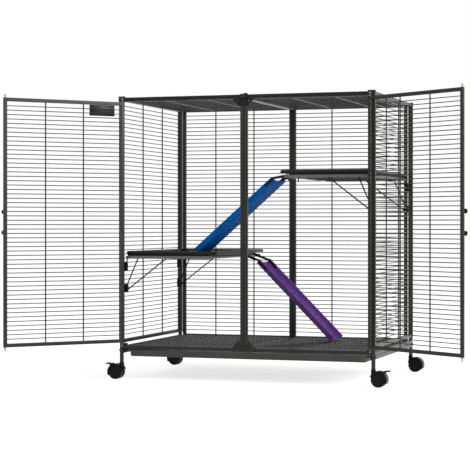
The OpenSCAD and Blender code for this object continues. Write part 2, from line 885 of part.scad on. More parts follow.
// Section of a ramp: a channel with rounded lower edges and a turned-out rim
function channel(w, h, t, r) = concat(
    [[-w / 2 - 2, h], [-w / 2 - 2, h - t], [-w / 2, h - t]],
    arc(-w / 2 + r, r, r, 180, 270, 6),
    arc(w / 2 - r, r, r, 270, 360, 6),
    [[w / 2, h - t], [w / 2 + 2, h - t], [w / 2 + 2, h], [w / 2 - t, h]],
    arc(w / 2 - r, r, r - t, 360, 270, 6),
    arc(-w / 2 + r, r, r - t, 270, 180, 6),
    [[-w / 2 + t, h]]);

module ramp(arm, long, near_y) {
    translate([arm, near_y + ramp_w / 2, ramp_lift])
        rotate([90, 0, 90])
            linear_extrude(long)
                polygon(channel(ramp_w, ramp_h, ramp_t, ramp_round));
}

// Two hook plates inside the walls of a ramp, open below the round bar
module ramp_hooks(arm, near_y) {
    wall_mid = ramp_lift + ramp_h - hook_w / 2 - 1.5;
    for (y = [near_y + ramp_t + seat, near_y + ramp_w - ramp_t - seat - hook_t])
        translate([0, y, 0])
            difference() {
                union() {
                    rotate([-90, 0, 0])
                        cylinder(r = hook_outer_r, h = hook_t);
                    translate([0, hook_t, 0])
                        rotate([90, 0, 0])
                            linear_extrude(hook_t)
                                polygon([[-3, hook_outer_r - 1.2], [4, 0],
                                    [arm + 2, wall_mid - hook_w / 2],
                                    [arm + hook_len, wall_mid - hook_w / 2],
                                    [arm + hook_len, wall_mid + hook_w / 2],
                                    [arm, wall_mid + hook_w / 2]]);
                }
                translate([0, -1, 0])
                    rotate([-90, 0, 0])
                        cylinder(r = hook_inner_r, h = hook_t + 2);
                translate([-hook_outer_r - 1, -1, -hook_outer_r - 1])
                    cube([hook_outer_r + 1 + hook_inner_r * 0.7, hook_t + 2,
                        hook_outer_r + 1 - 1.5]);
            }
}

purple_slope = ramp_slope(purple_arm + purple_len,
    lower_shelf_z + bar / 2 - grate_top - seat);
blue_slope = ramp_slope(blue_arm + blue_len,
    upper_shelf_z - lower_shelf_z - bar / 2 - tray_foot - tray_floor - seat);

// One caster, seen from its stem axis with the wheel trailing towards +X
module at_caster(side, end) {
    translate([side * post_x, end * post_y, 0])
        mirror([side < 0 ? 1 : 0, 0, 0])
            children();
}

module caster_fork(side, end, braked) {
    color("black")
        at_caster(side, end)
            difference() {
                union() {
                    translate([caster_trail, 0, wheel_r])
                        rotate([90, 0, 0])
                            cylinder(r = hood_r, h = 2 * wheel_out, center = true, $fn = 64);
                    translate([0, 0, wheel_r])
                        cylinder(r = 8.5, h = stem_shoulder - wheel_r);
                    cylinder(r = stem_r, h = leg_z + stem_in);
                    if (braked)
                        for (y = [-lever_w / 2 - 2, lever_w / 2 + 2])
                            at_lever()
                                translate([0, y, 0])
                                    rotate([90, 0, 0])
                                        lever_ear();
                }
                for (y = [-1, 1])
                    translate([caster_trail, y * (web_half + wheel_out) / 2 + y * 10, wheel_r])
                        rotate([90, 0, 0])
                            cylinder(r = wheel_r + hood_gap, center = true,
                                h = wheel_out - web_half + 20, $fn = 64);
                block([-hood_r, -hood_r, -hood_r], [caster_trail - 5, hood_r, wheel_r + 9]);
                block([-hood_r, -hood_r, -hood_r], [caster_trail + 2 * hood_r, hood_r, 12]);
                for (y = [-1, 1])
                    block([-hood_r, y * web_half, -hood_r],
                        [caster_trail + 2 * hood_r, y * hood_r, wheel_r - 2]);
                translate([caster_trail, 0, wheel_r])
                    rotate([90, 0, 0])
                        cylinder(r = axle_r + running, h = 40, center = true);
                if (braked)
                    at_lever()
                        rotate([90, 0, 0])
                            cylinder(r = lever_pin_r + running, h = 80, center = true);
            }
}

// Pivot of the brake lever above the hood
module at_lever() {
    translate([caster_trail + lever_out * cos(lever_turn), 0,
            wheel_r + lever_out * sin(lever_turn)])
        children();
}

module lever_ear() {
    linear_extrude(3, center = true)
        polygon(concat(arc(0, 0, lever_hub_r, -35, 145, 8), [[-6, -5], [-1, -9]]));
}

// Twin wheels pressed on one axle
module caster_wheels(side, end) {
    gap = web_half + seat;
    half = gap + wheel_w;
    color([0.08, 0.08, 0.08])
        at_caster(side, end)
            translate([caster_trail, 0, wheel_r])
                rotate([90, 0, 0])
                    rotate_extrude($fn = 64)
                        polygon([[0, -half + 2], [6, -half + 2], [7, -half], [9, -half],
                            [11, -half + 3], [wheel_r - 6, -half + 3], [wheel_r - 5, -half],
                            [wheel_r - 2, -half], [wheel_r, -half + 2], [wheel_r, -gap - 2],
                            [wheel_r - 2, -gap], [axle_r, -gap], [axle_r, gap],
                            [wheel_r - 2, gap], [wheel_r, gap + 2], [wheel_r, half - 2],
                            [wheel_r - 2, half], [wheel_r - 5, half], [wheel_r - 6, half - 3],
                            [11, half - 3], [9, half], [7, half], [6, half - 2],
                            [0, half - 2]]);
}

module brake_lever(side) {
    color("black")
        at_caster(side, front)
            at_lever()
                union() {
                    rotate([90, 0, 0])
                        cylinder(r = lever_hub_r - 0.2, h = lever_w, center = true);
                    rotate([90, 0, 0])
                        cylinder(r = lever_pin_r, h = lever_w + 6.6, center = true);
                    rotate([90, 0, 0])
                        linear_extrude(lever_w, center = true)
                            polygon([[0, 2], [lever_len, 3.5], [lever_len + 1, 1.5],
                                [lever_len, -0.5], [0, -2]]);
                }
}

// Door frame: X from the hinge axis to the free edge, the outer face towards -Y
module at_door(side) {
    open = side < 0 ? left_open : right_open;
    translate([side * hinge_x, hinge_y, 0])
        rotate([0, 0, side * open])
            mirror([side > 0 ? 1 : 0, 0, 0])
                children();
}

module door_panel(side) {
    tall = door_top - door_z;
    clear = door_reach - rail_h;
    slot_w = 2 * knob_stem_r + 0.6;
    color("dimgray")
        at_door(side)
            difference() {
                translate([0, 0, door_z])
                    union() {
                        for (x = [0, door_reach])
                            translate([x, 0, 0])
                                upright(rail_h, door_t, tall);
                        for (z = [rail_h / 2, tall - rail_h / 2])
                            translate([rail_h / 2 - wire_set, 0, z])
                                crossbar(rail_h, door_t, clear + 2 * wire_set);
                        translate([rail_h / 2, 0, rail_h])
                            wire_grid(clear, tall - 2 * rail_h, [clear / 3, 2 * clear / 3], -1);
                    }
                translate([door_reach, 0, door_z - 1])
                    cylinder(r = rod_bore_r, h = tall + 2);
                for (z = [door_z - 1, door_top - pin_in - 0.5])
                    translate([0, 0, z])
                        cylinder(r = pin_r + running, h = pin_in + 1.5);
                knob_slot(low_knob_z - knob_stem_r - 1, low_knob_z + latch_travel
                    + knob_stem_r + 0.5, slot_w);
                knob_slot(high_knob_z - latch_travel - knob_stem_r - 0.5,
                    high_knob_z + knob_stem_r + 1, slot_w);
            }
}

// Slot in the outer face of the free stile
module knob_slot(from_z, to_z, w) {
    block([door_reach - w / 2, -door_t, from_z], [door_reach + w / 2, -1, to_z]);
}

module hinge_pins(side) {
    color("silver")
        at_door(side) {
            translate([0, 0, pin_low])
                cylinder(r = pin_r, h = pin_out + pin_in);
            translate([0, 0, hinge_tab_top + seat])
                cylinder(r = collar_r, h = door_z - hinge_tab_top - 2 * seat);
            translate([0, 0, door_top - pin_in])
                cylinder(r = pin_r, h = pin_out + pin_in);
        }
}

// Latch rod inside the free stile, drilled across for its knob
module latch_rod(side, half) {
    low = half < 0 ? pin_low : high_knob_z - rod_tail;
    high = half < 0 ? low_knob_z + rod_tail : pin_high;
    knob_at = half < 0 ? low_knob_z : high_knob_z;
    color("silver")
        at_door(side)
            difference() {
                translate([door_reach, 0, low])
                    cylinder(r = pin_r, h = high - low);
                translate([door_reach, 1, knob_at])
                    rotate([90, 0, 0])
                        cylinder(r = knob_pin_r + running, h = pin_r + 3);
            }
}

// Knob with a collar, its stem through the slot and its pin in the rod
module latch_knob(side, half) {
    knob_at = half < 0 ? low_knob_z : high_knob_z;
    out = door_t / 2 + seat;
    color([0.1, 0.1, 0.1])
        at_door(side)
            translate([door_reach, 0, knob_at])
                rotate([90, 0, 0])
                    rotate_extrude()
                        polygon(concat([[0, 0.5], [knob_pin_r, 0.5], [knob_pin_r, pin_r + 0.1],
                            [knob_stem_r, pin_r + 0.1], [knob_stem_r, out], [knob_r - 3, out],
                            [knob_r - 3, out + 1.5], [knob_r - 5, out + 3.5],
                            [knob_r - 5, out + knob_out - 9], [knob_r - 2, out + knob_out - 8]],
                            arc(0, out + knob_out - 9, knob_r, 20, 90, 6)));
}

// Ring of points around the spring's wire at one place along the coil
function spring_ring(turn, z, sides) = [
    for (i = [0 : sides - 1])
        let (a = 360 * i / sides, r = spring_r + spring_wire / 2 * cos(a) - 0.05)
            [r * cos(turn), r * sin(turn), z + spring_wire / 2 * sin(a)]
];

// Coil spring between the tails of the two latch rods
module latch_spring(side) {
    low = low_knob_z + rod_tail + seat + spring_wire / 2;
    high = high_knob_z - rod_tail - seat - spring_wire / 2;
    sides = 5;
    per_turn = 8;
    steps = per_turn * spring_coils;
    points = [for (i = [0 : steps])
        each spring_ring(360 * i / per_turn, low + (high - low) * i / steps, sides)];
    walls = [for (i = [0 : steps - 1]) for (j = [0 : sides - 1])
        let (next = (j + 1) % sides)
            each [[i * sides + j, (i + 1) * sides + j, (i + 1) * sides + next],
                [i * sides + j, (i + 1) * sides + next, i * sides + next]]];
    caps = [for (j = [1 : sides - 2])
        each [[0, j, j + 1], [steps * sides, steps * sides + j + 1, steps * sides + j]]];
    color("silver")
        at_door(side)
            translate([door_reach, 0, 0])
                polyhedron(points, concat(walls, caps), convexity = 8);
}

// Bare plate with a raised border, on the outer side of the wires
module left_door_plate() {
    color([0.22, 0.22, 0.22])
        at_door(left)
            translate([plate_x, -(stay_offset + stay_d) / 2 - seat, plate_top - plate_h])
                difference() {
                    block([0, -3, 0], [plate_w, 0, plate_h]);
                    block([plate_border, -4, plate_border],
                        [plate_w - plate_border, -2, plate_h - plate_border]);
                }
}

side_panel(left);  // left_side_panel
side_panel(right);  // right_side_panel
back_panel(left);  // left_back_panel
back_panel(right);  // right_back_panel
top_panel(left);  // left_top_panel
top_panel(right);  // right_top_panel
front_top_rail();
centre_post();
top_centre_bracket();
bottom_centre_bracket();
hinge_brackets();
base_frame();
pan_runner(left);  // left_pan_runner
pan_runner(right);  // right_pan_runner
post_caps();
frame_screws();
floor_grate(left);  // left_floor_grate
floor_grate(right);  // right_floor_grate
floor_pan();
shelf_frame(left, lower_shelf_z, lower_free_x);  // lower_shelf_frame
shelf_tray(left, lower_shelf_z, lower_free_x);  // lower_shelf_tray
shelf_clips(left, lower_shelf_z);  // lower_shelf_clips
shelf_rods(left, lower_shelf_z);  // lower_shelf_rods
shelf_frame(right, upper_shelf_z, upper_free_x);  // upper_shelf_frame
shelf_tray(right, upper_shelf_z, upper_free_x);  // upper_shelf_tray
shelf_clips(right, upper_shelf_z);  // upper_shelf_clips
shelf_rods(right, upper_shelf_z);  // upper_shelf_rods
door_panel(left);  // left_door_panel
hinge_pins(left);  // left_hinge_pins
left_door_plate();
latch_rod(left, upper);  // left_upper_latch_rod
latch_knob(left, upper);  // left_upper_latch_knob
latch_rod(left, lower);  // left_lower_latch_rod
latch_knob(left, lower);  // left_lower_latch_knob
latch_spring(left);  // left_latch_spring
door_panel(right);  // right_door_panel
hinge_pins(right);  // right_hinge_pins
latch_rod(right, upper);  // right_upper_latch_rod
latch_knob(right, upper);  // right_upper_latch_knob
latch_rod(right, lower);  // right_lower_latch_rod
latch_knob(right, lower);  // right_lower_latch_knob
latch_spring(right);  // right_latch_spring
color([0.08, 0.36, 0.62])  // blue_ramp
        at_ramp(right, upper_free_x, upper_shelf_z, blue_slope)
            ramp(blue_arm, blue_len, blue_y);
color("black")  // blue_ramp_hooks
        at_ramp(right, upper_free_x, upper_shelf_z, blue_slope)
            ramp_hooks(blue_arm, blue_y);
color([0.45, 0.33, 0.58])  // purple_ramp
        at_ramp(left, lower_free_x, lower_shelf_z, purple_slope)
            ramp(purple_arm, purple_len, purple_y);
color("black")  // purple_ramp_hooks
        at_ramp(left, lower_free_x, lower_shelf_z, purple_slope)
            ramp_hooks(purple_arm, purple_y);
caster_fork(left, front, true);  // front_left_caster_fork
caster_wheels(left, front);  // front_left_caster_wheels
brake_lever(left);  // front_left_brake_lever
caster_fork(right, front, true);  // front_right_caster_fork
caster_wheels(right, front);  // front_right_caster_wheels
brake_lever(right);  // front_right_brake_lever
caster_fork(left, rear, false);  // rear_left_caster_fork
caster_wheels(left, rear);  // rear_left_caster_wheels
caster_fork(right, rear, false);  // rear_right_caster_fork
caster_wheels(right, rear);  // rear_right_caster_wheels
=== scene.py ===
# %% [markdown]
# # A wire pet cage on four casters
# This lesson dresses a steel cage that was built in a CAD program, with its two front doors
# open. The CAD solids arrive as a fixed frame, in metres, and every new piece is made where
# its solid stands.

# %% Load the frame
import json
import math

import bmesh
import bpy
from mathutils import Matrix, Vector

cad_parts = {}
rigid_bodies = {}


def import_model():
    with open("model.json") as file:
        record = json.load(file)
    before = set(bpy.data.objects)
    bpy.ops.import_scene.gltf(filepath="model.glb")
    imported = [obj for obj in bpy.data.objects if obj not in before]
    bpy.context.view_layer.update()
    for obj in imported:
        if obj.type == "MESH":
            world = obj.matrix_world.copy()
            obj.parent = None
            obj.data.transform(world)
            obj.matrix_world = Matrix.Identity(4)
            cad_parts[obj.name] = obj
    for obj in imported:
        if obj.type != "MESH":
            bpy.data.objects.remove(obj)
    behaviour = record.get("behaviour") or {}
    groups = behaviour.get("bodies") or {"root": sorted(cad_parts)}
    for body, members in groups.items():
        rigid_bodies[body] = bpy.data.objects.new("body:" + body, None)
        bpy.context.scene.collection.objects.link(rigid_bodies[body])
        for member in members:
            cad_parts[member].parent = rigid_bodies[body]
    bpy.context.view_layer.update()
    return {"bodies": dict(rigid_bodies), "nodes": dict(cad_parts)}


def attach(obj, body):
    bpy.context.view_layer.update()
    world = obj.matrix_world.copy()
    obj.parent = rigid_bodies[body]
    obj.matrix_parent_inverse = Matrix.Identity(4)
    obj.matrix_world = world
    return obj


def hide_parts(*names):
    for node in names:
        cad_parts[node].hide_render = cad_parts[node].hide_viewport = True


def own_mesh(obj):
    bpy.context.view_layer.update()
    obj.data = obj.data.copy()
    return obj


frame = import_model()
bodies, nodes = frame["bodies"], frame["nodes"]
print("nodes:", len(nodes), "bodies:", len(bodies))

# %% [markdown]
# ## Sizes
# The sizes below are those of the cage itself, in metres. A place on a door, a ramp or a
# caster is easiest to write down in that part's own frame, so a matrix carries each of
# these frames into the cage. The free corner of one door mirrors the other, and the matrix
# holds that too.

# %% Sizes of the cage
left, right, front, rear = -1, 1, -1, 1
half_w, half_d, cage_top = 0.457, 0.303, 0.980
post_w, rail_h = 0.016, 0.0125
post_x, post_y = half_w - post_w / 2, half_d - post_w / 2
seat = 0.0003
hinge_x, hinge_y = half_w - post_w, -half_d - 0.0085
door_t, latch_x = 0.009, 0.007
door_reach = hinge_x - latch_x
door_z, door_top = 0.1275, cage_top - 0.017
knob_z, knob_gap = 0.546, 0.069
open_angle = {left: -131.7, right: 144.3}
bar_above_shelf = 0.005
shelves = {"lower": (left, 0.419, 0.122), "upper": (right, 0.696, 0.139)}
both_sides = ((left, "left"), (right, "right"))
halves = ((1, "upper"), (-1, "lower"))
print("cage", 2 * half_w, "x", 2 * half_d, "x", cage_top)

# %% Frames of the doors, ramps and casters
def at(x, y, z):
    """Matrix that carries the origin to a point."""
    return Matrix.Translation((x, y, z))


def mirror_x(wanted):
    """Matrix that mirrors X, or leaves things as they are."""
    return Matrix.Diagonal((-1 if wanted else 1, 1, 1, 1))


def door_frame(side):
    """X from the hinge axis to the free stile, the outer face towards -Y."""
    turn = Matrix.Rotation(math.radians(open_angle[side]), 4, "Z")
    return at(side * hinge_x, hinge_y, 0) @ turn @ mirror_x(side > 0)


def ramp_frame(shelf, slope):
    """Origin on the round bar of the shelf, X down the slope."""
    side, level, free_x = shelves[shelf]
    bar = at(side * free_x, 0, level + bar_above_shelf)
    return bar @ mirror_x(side > 0) @ Matrix.Rotation(math.radians(slope), 4, "Y")


def caster_frame(side, end):
    """Origin on the floor under the stem, X towards the trailing wheel."""
    return at(side * post_x, end * post_y, 0) @ mirror_x(side < 0)


print("left door opens from", tuple(round(v, 4) for v in door_frame(left).translation))

# %% [markdown]
# ## Tools for shaping
# Almost every fitting here is one of four shapes: a block with broken edges, a turned
# shape, a plate cut to an outline, or a bent rod. Each helper starts a mesh from an
# operator, such as a cube, a circle or a short row of points, and then spins, extrudes or
# bevels it. Keeping the helpers small means that a piece reads as a list of steps.

# %% Helpers for blocks and plates
towards_front = Matrix.Rotation(math.radians(90), 4, "X")
sharp_turn = 0.5


def upright(y):
    """Stands a flat plate up, so that it thickens towards the front from this y."""
    return at(0, y, 0) @ towards_front


def placed(bm, verts, matrix):
    """Moves these vertices with a matrix."""
    bmesh.ops.transform(bm, matrix=matrix, verts=verts)
    return verts


def bevel(bm, edges, width, segments=2):
    """Rounds edges evenly."""
    bmesh.ops.bevel(bm, geom=list(edges), offset=width, segments=segments,
                    profile=0.5, affect="EDGES", material=-1, clamp_overlap=True)


def block(bm, low, high, matrix=Matrix.Identity(4), edge=0.0, segments=2):
    """A block between two corners, with its edges rounded."""
    low, high = Vector(low), Vector(high)
    made = bmesh.ops.create_cube(bm, size=1)["verts"]
    size, middle = high - low, (high + low) / 2
    placed(bm, made, matrix @ Matrix.Translation(middle) @ Matrix.Diagonal((*size, 1)))
    if edge:
        bevel(bm, {e for v in made for e in v.link_edges}, edge, segments)
    return made


def plate(bm, outlines, thickness, matrix=Matrix.Identity(4), edge=0.0, segments=2):
    """A flat plate in the XY plane from its outline and its holes, thickened along Z."""
    edges = []
    for outline in outlines:
        ring = [bm.verts.new((x, y, 0)) for x, y in outline]
        edges += [bm.edges.new((a, b)) for a, b in zip(ring, ring[1:] + ring[:1])]
    filled = bmesh.ops.triangle_fill(bm, use_beauty=True, use_dissolve=True, edges=edges)
    faces = [g for g in filled["geom"] if isinstance(g, bmesh.types.BMFace)]
    grown = bmesh.ops.extrude_face_region(bm, geom=faces)["geom"]
    top = [g for g in grown if isinstance(g, bmesh.types.BMVert)]
    bmesh.ops.translate(bm, vec=(0, 0, thickness), verts=top)
    bottom = {v for e in edges for v in e.verts}
    whole = list(bottom | set(top))
    bmesh.ops.recalc_face_normals(bm, faces=list({f for v in whole for f in v.link_faces}))
    placed(bm, whole, matrix)
    if edge:
        sharp = [e for e in {e for v in whole for e in v.link_edges}
                 if len(e.link_faces) == 2 and e.calc_face_angle() > sharp_turn]
        bevel(bm, sharp, edge, segments)


# %% Helpers for turned shapes and rods
def turned(bm, profile, matrix=Matrix.Identity(4), steps=32):
    """Spins (radius, height) points round Z and places the result."""
    old = set(bm.verts)
    row = [bm.verts.new((radius, 0, height)) for radius, height in profile]
    edges = [bm.edges.new(pair) for pair in zip(row, row[1:])]
    bmesh.ops.spin(bm, geom=row + edges, cent=(0, 0, 0), axis=(0, 0, 1),
                   angle=math.tau, steps=steps, use_merge=True)
    made = [v for v in bm.verts if v not in old]
    bmesh.ops.remove_doubles(bm, verts=made, dist=1e-6)
    made = [v for v in bm.verts if v not in old]
    bmesh.ops.recalc_face_normals(bm, faces=list({f for v in made for f in v.link_faces}))
    return placed(bm, made, matrix)


def bent_rod(bm, path, radius, sides=10):
    """A round rod along points: one circle, extruded and turned from point to point."""
    points = [Vector(p) for p in path]
    old = set(bm.verts)
    ring = bmesh.ops.create_circle(bm, cap_ends=True, radius=radius, segments=sides)["verts"]
    heading = (points[1] - points[0]).normalized()
    facing = heading.to_track_quat("Z", "X").to_matrix().to_4x4()
    placed(bm, ring, Matrix.Translation(points[0]) @ facing)
    end = ring[0].link_faces[0]
    for i, point in enumerate(points[1:], 1):
        after = points[min(i + 1, len(points) - 1)]
        ahead = (point - points[i - 1]).normalized()
        if after != point:
            ahead = (ahead + (after - point).normalized()).normalized()
        grown = bmesh.ops.extrude_face_region(bm, geom=[end])["geom"]
        end = [g for g in grown if isinstance(g, bmesh.types.BMFace)][0]
        ring = list(end.verts)
        swing = heading.rotation_difference(ahead).to_matrix().to_4x4()
        from_last = Matrix.Translation(-points[i - 1])
        placed(bm, ring, Matrix.Translation(point) @ swing @ from_last)
        heading = ahead
    made = [v for v in bm.verts if v not in old]
    bmesh.ops.recalc_face_normals(bm, faces=list({f for v in made for f in v.link_faces}))
    return made


def arc_points(centre, radius, start, stop, steps):
    """(x, y) points on an arc, angles in degrees."""
    angles = [math.radians(start + (stop - start) * i / steps) for i in range(steps + 1)]
    x, y = centre
    return [(x + radius * math.cos(a), y + radius * math.sin(a)) for a in angles]


# %% Helper that finishes a piece
def piece(name, bm, material, body, slot, *stands_for):
    """Makes the object, shades it, and ties it to its body and its CAD solids."""
    bmesh.ops.recalc_face_normals(bm, faces=bm.faces)
    mesh = bpy.data.meshes.new(name)
    for face in bm.faces:
        face.smooth = True
    bm.to_mesh(mesh)
    bm.free()
    mesh.set_sharp_from_angle(angle=math.radians(32))
    mesh.materials.append(material)
    made = bpy.data.objects.new(name, mesh)
    bpy.context.scene.collection.objects.link(made)
    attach(made, body)
    if stands_for:
        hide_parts(*stands_for)
    print(name, "-", len(mesh.polygons), "faces")
    return made


# %% [markdown]
# ## Shared surface effects
# The cage has three kinds of surface: enamel baked on steel, moulded plastic and plated
# steel. Each kind is a node group that turns a position on the object into a colour, a
# roughness and a height. A group keeps the recipe in one place, and each material
# gives it other colours and scales. The shader stays outside the group.

# %% Helpers for node groups
def new_group(name, colours, values):
    """An empty shader group with its sockets, and its two end nodes."""
    group = bpy.data.node_groups.new(name, "ShaderNodeTree")
    sockets = [("INPUT", "Vector", ["Vector"]), ("INPUT", "Color", colours),
               ("INPUT", "Float", values), ("OUTPUT", "Color", ["Color"]),
               ("OUTPUT", "Float", ["Roughness", "Height"])]
    for way, kind, labels in sockets:
        for label in labels:
            group.interface.new_socket(name=label, in_out=way, socket_type="NodeSocket" + kind)
    return group, group.nodes.new("NodeGroupInput"), group.nodes.new("NodeGroupOutput")


def deliver(group, sink, colour, roughness, height):
    """Links what a group has worked out to its outputs."""
    for socket, value in zip(sink.inputs, (colour, roughness, height)):
        group.links.new(value, socket)


def node(tree, kind, inputs=None, **settings):
    """Adds a node, sets its options, and sets or links its inputs."""
    made = tree.nodes.new(kind)
    for key, value in settings.items():
        setattr(made, key, value)
    for key, value in (inputs or {}).items():
        if isinstance(value, bpy.types.NodeSocket):
            tree.links.new(value, made.inputs[key])
        else:
            made.inputs[key].default_value = value
    return made


def ramp(tree, source, low, high):
    """Stretches the part of a value between low and high to run from 0 to 1."""
    return node(tree, "ShaderNodeMapRange",
                {"Value": source, "From Min": low, "From Max": high}).outputs[0]


def blend(tree, factor, a, b):
    """Mixes two colours."""
    return node(tree, "ShaderNodeMix", {0: factor, 6: a, 7: b}, data_type="RGBA").outputs[2]


def maths(tree, operation, a, b):
    """One step of arithmetic on two values."""
    return node(tree, "ShaderNodeMath", {0: a, 1: b}, operation=operation).outputs[0]


def plus(tree, a, b):
    """Adds two values."""
    return maths(tree, "ADD", a, b)


def times(tree, a, b):
    """Multiplies two values."""
    return maths(tree, "MULTIPLY", a, b)


def noise(tree, vector, scale, detail, **more):
    """The value of a noise texture."""
    return node(tree, "ShaderNodeTexNoise", {"Vector": vector, "Scale": scale,
                "Detail": detail, **more}).outputs["Fac"]


def stretched(tree, vector, scale, rotation=(0, 0, 0)):
    """A position that is scaled along each axis, and turned."""
    return node(tree, "ShaderNodeMapping", {"Vector": vector, "Rotation": rotation,
                "Scale": scale}).outputs["Vector"]

# %% [markdown]
# Baked enamel on cheap steel tube isn't smooth. It has shallow dimples two or three
# millimetres across, a fine orange peel between them, and metal flecks that make the
# charcoal sparkle a little. Cells from a Voronoi texture give the dimples and a noise
# texture gives the peel.

# %% Enamel
group, source, sink = new_group("baked_enamel", ["Deep", "Light"], ["Cells", "Gloss"])
place, wanted = source.outputs["Vector"], source.outputs
cells = node(group, "ShaderNodeTexVoronoi", {"Vector": place, "Scale": wanted["Cells"]},
             feature="SMOOTH_F1")
peel = noise(group, place, 1900.0, 2.0)
cloud = noise(group, place, 17.0, 5.0, Roughness=0.6)
flecks = ramp(group, peel, 0.52, 0.78)
tone = plus(group, times(group, flecks, 0.5),
            times(group, ramp(group, cloud, 0.35, 0.7), 0.45))
deliver(group, sink, blend(group, tone, wanted["Deep"], wanted["Light"]),
        plus(group, wanted["Gloss"], times(group, cloud, 0.14)),
        plus(group, cells.outputs["Distance"], times(group, peel, 0.25)))
print("group", group.name)

# %% [markdown]
# Moulded plastic takes the grain of its mould, which is usually a spark-eroded matt skin.
# Pale scuffs gather on it with use, mostly in one direction, and a soft haze of dust dulls
# it in places. The scuffs come from a noise that is stretched a lot along X.

# %% Moulded plastic
group, source, sink = new_group("moulded_plastic", ["Deep", "Light", "Scuff"],
                                ["Scuffs", "Grain", "Gloss"])
place, wanted = source.outputs["Vector"], source.outputs
grain = noise(group, place, wanted["Grain"], 3.0)
cloud = noise(group, place, 14.0, 4.0)
along = stretched(group, place, (12.0, 260.0, 190.0), (0, 0, 0.35))
streaks = noise(group, along, 1.0, 3.0, Roughness=0.7)
marks = times(group, ramp(group, streaks, 0.60, 0.72), ramp(group, cloud, 0.45, 0.65))
marks = times(group, marks, wanted["Scuffs"])
tone = plus(group, times(group, ramp(group, cloud, 0.3, 0.7), 0.6), times(group, grain, 0.4))
body_colour = blend(group, tone, wanted["Deep"], wanted["Light"])
deliver(group, sink, blend(group, marks, body_colour, wanted["Scuff"]),
        plus(group, wanted["Gloss"], times(group, plus(group, cloud, marks), 0.18)),
        maths(group, "SUBTRACT", grain, marks))
print("group", group.name)

# %% [markdown]
# Pins, latch rods and springs are zinc-plated steel. Drawn wire keeps fine lines along its
# length, and the plating has a slight milky cloud. The lines are a noise drawn out along Z,
# which is the way the rods of a door run.

# %% Bright steel
group, source, sink = new_group("plated_steel", ["Deep", "Light"], ["Gloss"])
place, wanted = source.outputs["Vector"], source.outputs
lines = noise(group, stretched(group, place, (2200.0, 2200.0, 30.0)), 1.0, 2.0)
cloud = noise(group, place, 90.0, 3.0)
tone = ramp(group, times(group, plus(group, lines, cloud), 0.5), 0.35, 0.65)
deliver(group, sink, blend(group, tone, wanted["Deep"], wanted["Light"]),
        plus(group, wanted["Gloss"], times(group, cloud, 0.2)), lines)
print("group", group.name)

# %% [markdown]
# ## Materials
# A material is a group with its own values, a Bump node for the height, and the shader.
# Whatever is the same all over the surface, such as metallic or specular, is a plain number
# on the shader. The frame is charcoal, the fittings are a deeper black, and the two ramps are
# the only colours. The roof wires and the shelf frames get paler copies of the charcoal, which
# are painted light: a painted sheen along the round roof wires, and painted light on the shelf
# frames in the shade of their trays. The gussets of the roof bracket get the deeper black of
# the rods, which is painted shade.

# %% Helper for materials
def finish(name, kind, bump, depth=0.0002, specular=0.5, metallic=0.0, **skin_values):
    """A material from one of the groups, whose other values go to the group's inputs."""
    material = bpy.data.materials.new(name)
    material.use_nodes = True
    tree = material.node_tree
    shader = tree.nodes["Principled BSDF"]
    place = node(tree, "ShaderNodeTexCoord")
    skin = node(tree, "ShaderNodeGroup", node_tree=bpy.data.node_groups[kind])
    tree.links.new(place.outputs["Object"], skin.inputs["Vector"])
    for key, value in skin_values.items():
        skin.inputs[key.capitalize()].default_value = value
    dent = node(tree, "ShaderNodeBump", {"Height": skin.outputs["Height"],
                "Strength": bump, "Distance": depth})
    tree.links.new(skin.outputs["Color"], shader.inputs["Base Color"])
    tree.links.new(skin.outputs["Roughness"], shader.inputs["Roughness"])
    tree.links.new(dent.outputs["Normal"], shader.inputs["Normal"])
    shader.inputs["Specular IOR Level"].default_value = specular
    shader.inputs["Metallic"].default_value = metallic
    return material


def grey(level, warm=1.0, cool=1.0):
    """A nearly neutral colour."""
    return (level * warm, level, level * cool, 1)


# %% Paints and steels
frame_paint = finish(
    "charcoal_enamel", "baked_enamel", deep=grey(0.012, 1.06, 0.92),
    light=grey(0.034, 1.05, 0.92), cells=420.0, gloss=0.24, bump=0.22, depth=0.0003,
    specular=0.25)
# Painted sheen: the roof wires get a paler copy of the charcoal enamel. It stands in for the
# highlights that a bright room lays along round wires.
roof_wire_sheen_paint = finish(
    "roof_wire_enamel_painted_sheen", "baked_enamel", deep=grey(0.054), light=grey(0.116), cells=700.0,
    gloss=0.20, bump=0.12, specular=0.25)
grate_paint = finish(
    "dark_grate_enamel", "baked_enamel", deep=grey(0.009, 1, 0.98),
    light=grey(0.020, 1, 0.98), cells=650.0, gloss=0.20, bump=0.06, depth=0.0001,
    specular=0.30)
# Painted light: the shelf frames get a paler copy of the charcoal enamel. It makes up for the
# shade under their trays and stands in for highlights on them.
shelf_frame_painted_light = finish(
    "shelf_enamel_painted_light", "baked_enamel", deep=grey(0.115), light=grey(0.205), cells=520.0,
    gloss=0.24, bump=0.15, specular=0.3)
black_paint = finish(
    "black_bracket_enamel", "baked_enamel", deep=grey(0.004, 1, 1.08),
    light=grey(0.014, 1, 1.12), cells=500.0, gloss=0.28, bump=0.2, depth=0.0003,
    specular=0.16)
rod_paint = finish(
    "black_rod_enamel", "baked_enamel", deep=grey(0.003), light=grey(0.010), cells=800.0,
    gloss=0.30, bump=0.1, specular=0.12)
bright_steel = finish(
    "zinc_plated_steel", "plated_steel", deep=grey(0.16), light=grey(0.34), gloss=0.26,
    bump=0.08, depth=0.0001, metallic=1.0)
screw_steel = finish(
    "blackened_screw_steel", "plated_steel", deep=grey(0.008), light=grey(0.030), gloss=0.32,
    bump=0.08, depth=0.0001, metallic=0.6)
print("paints and steels made")

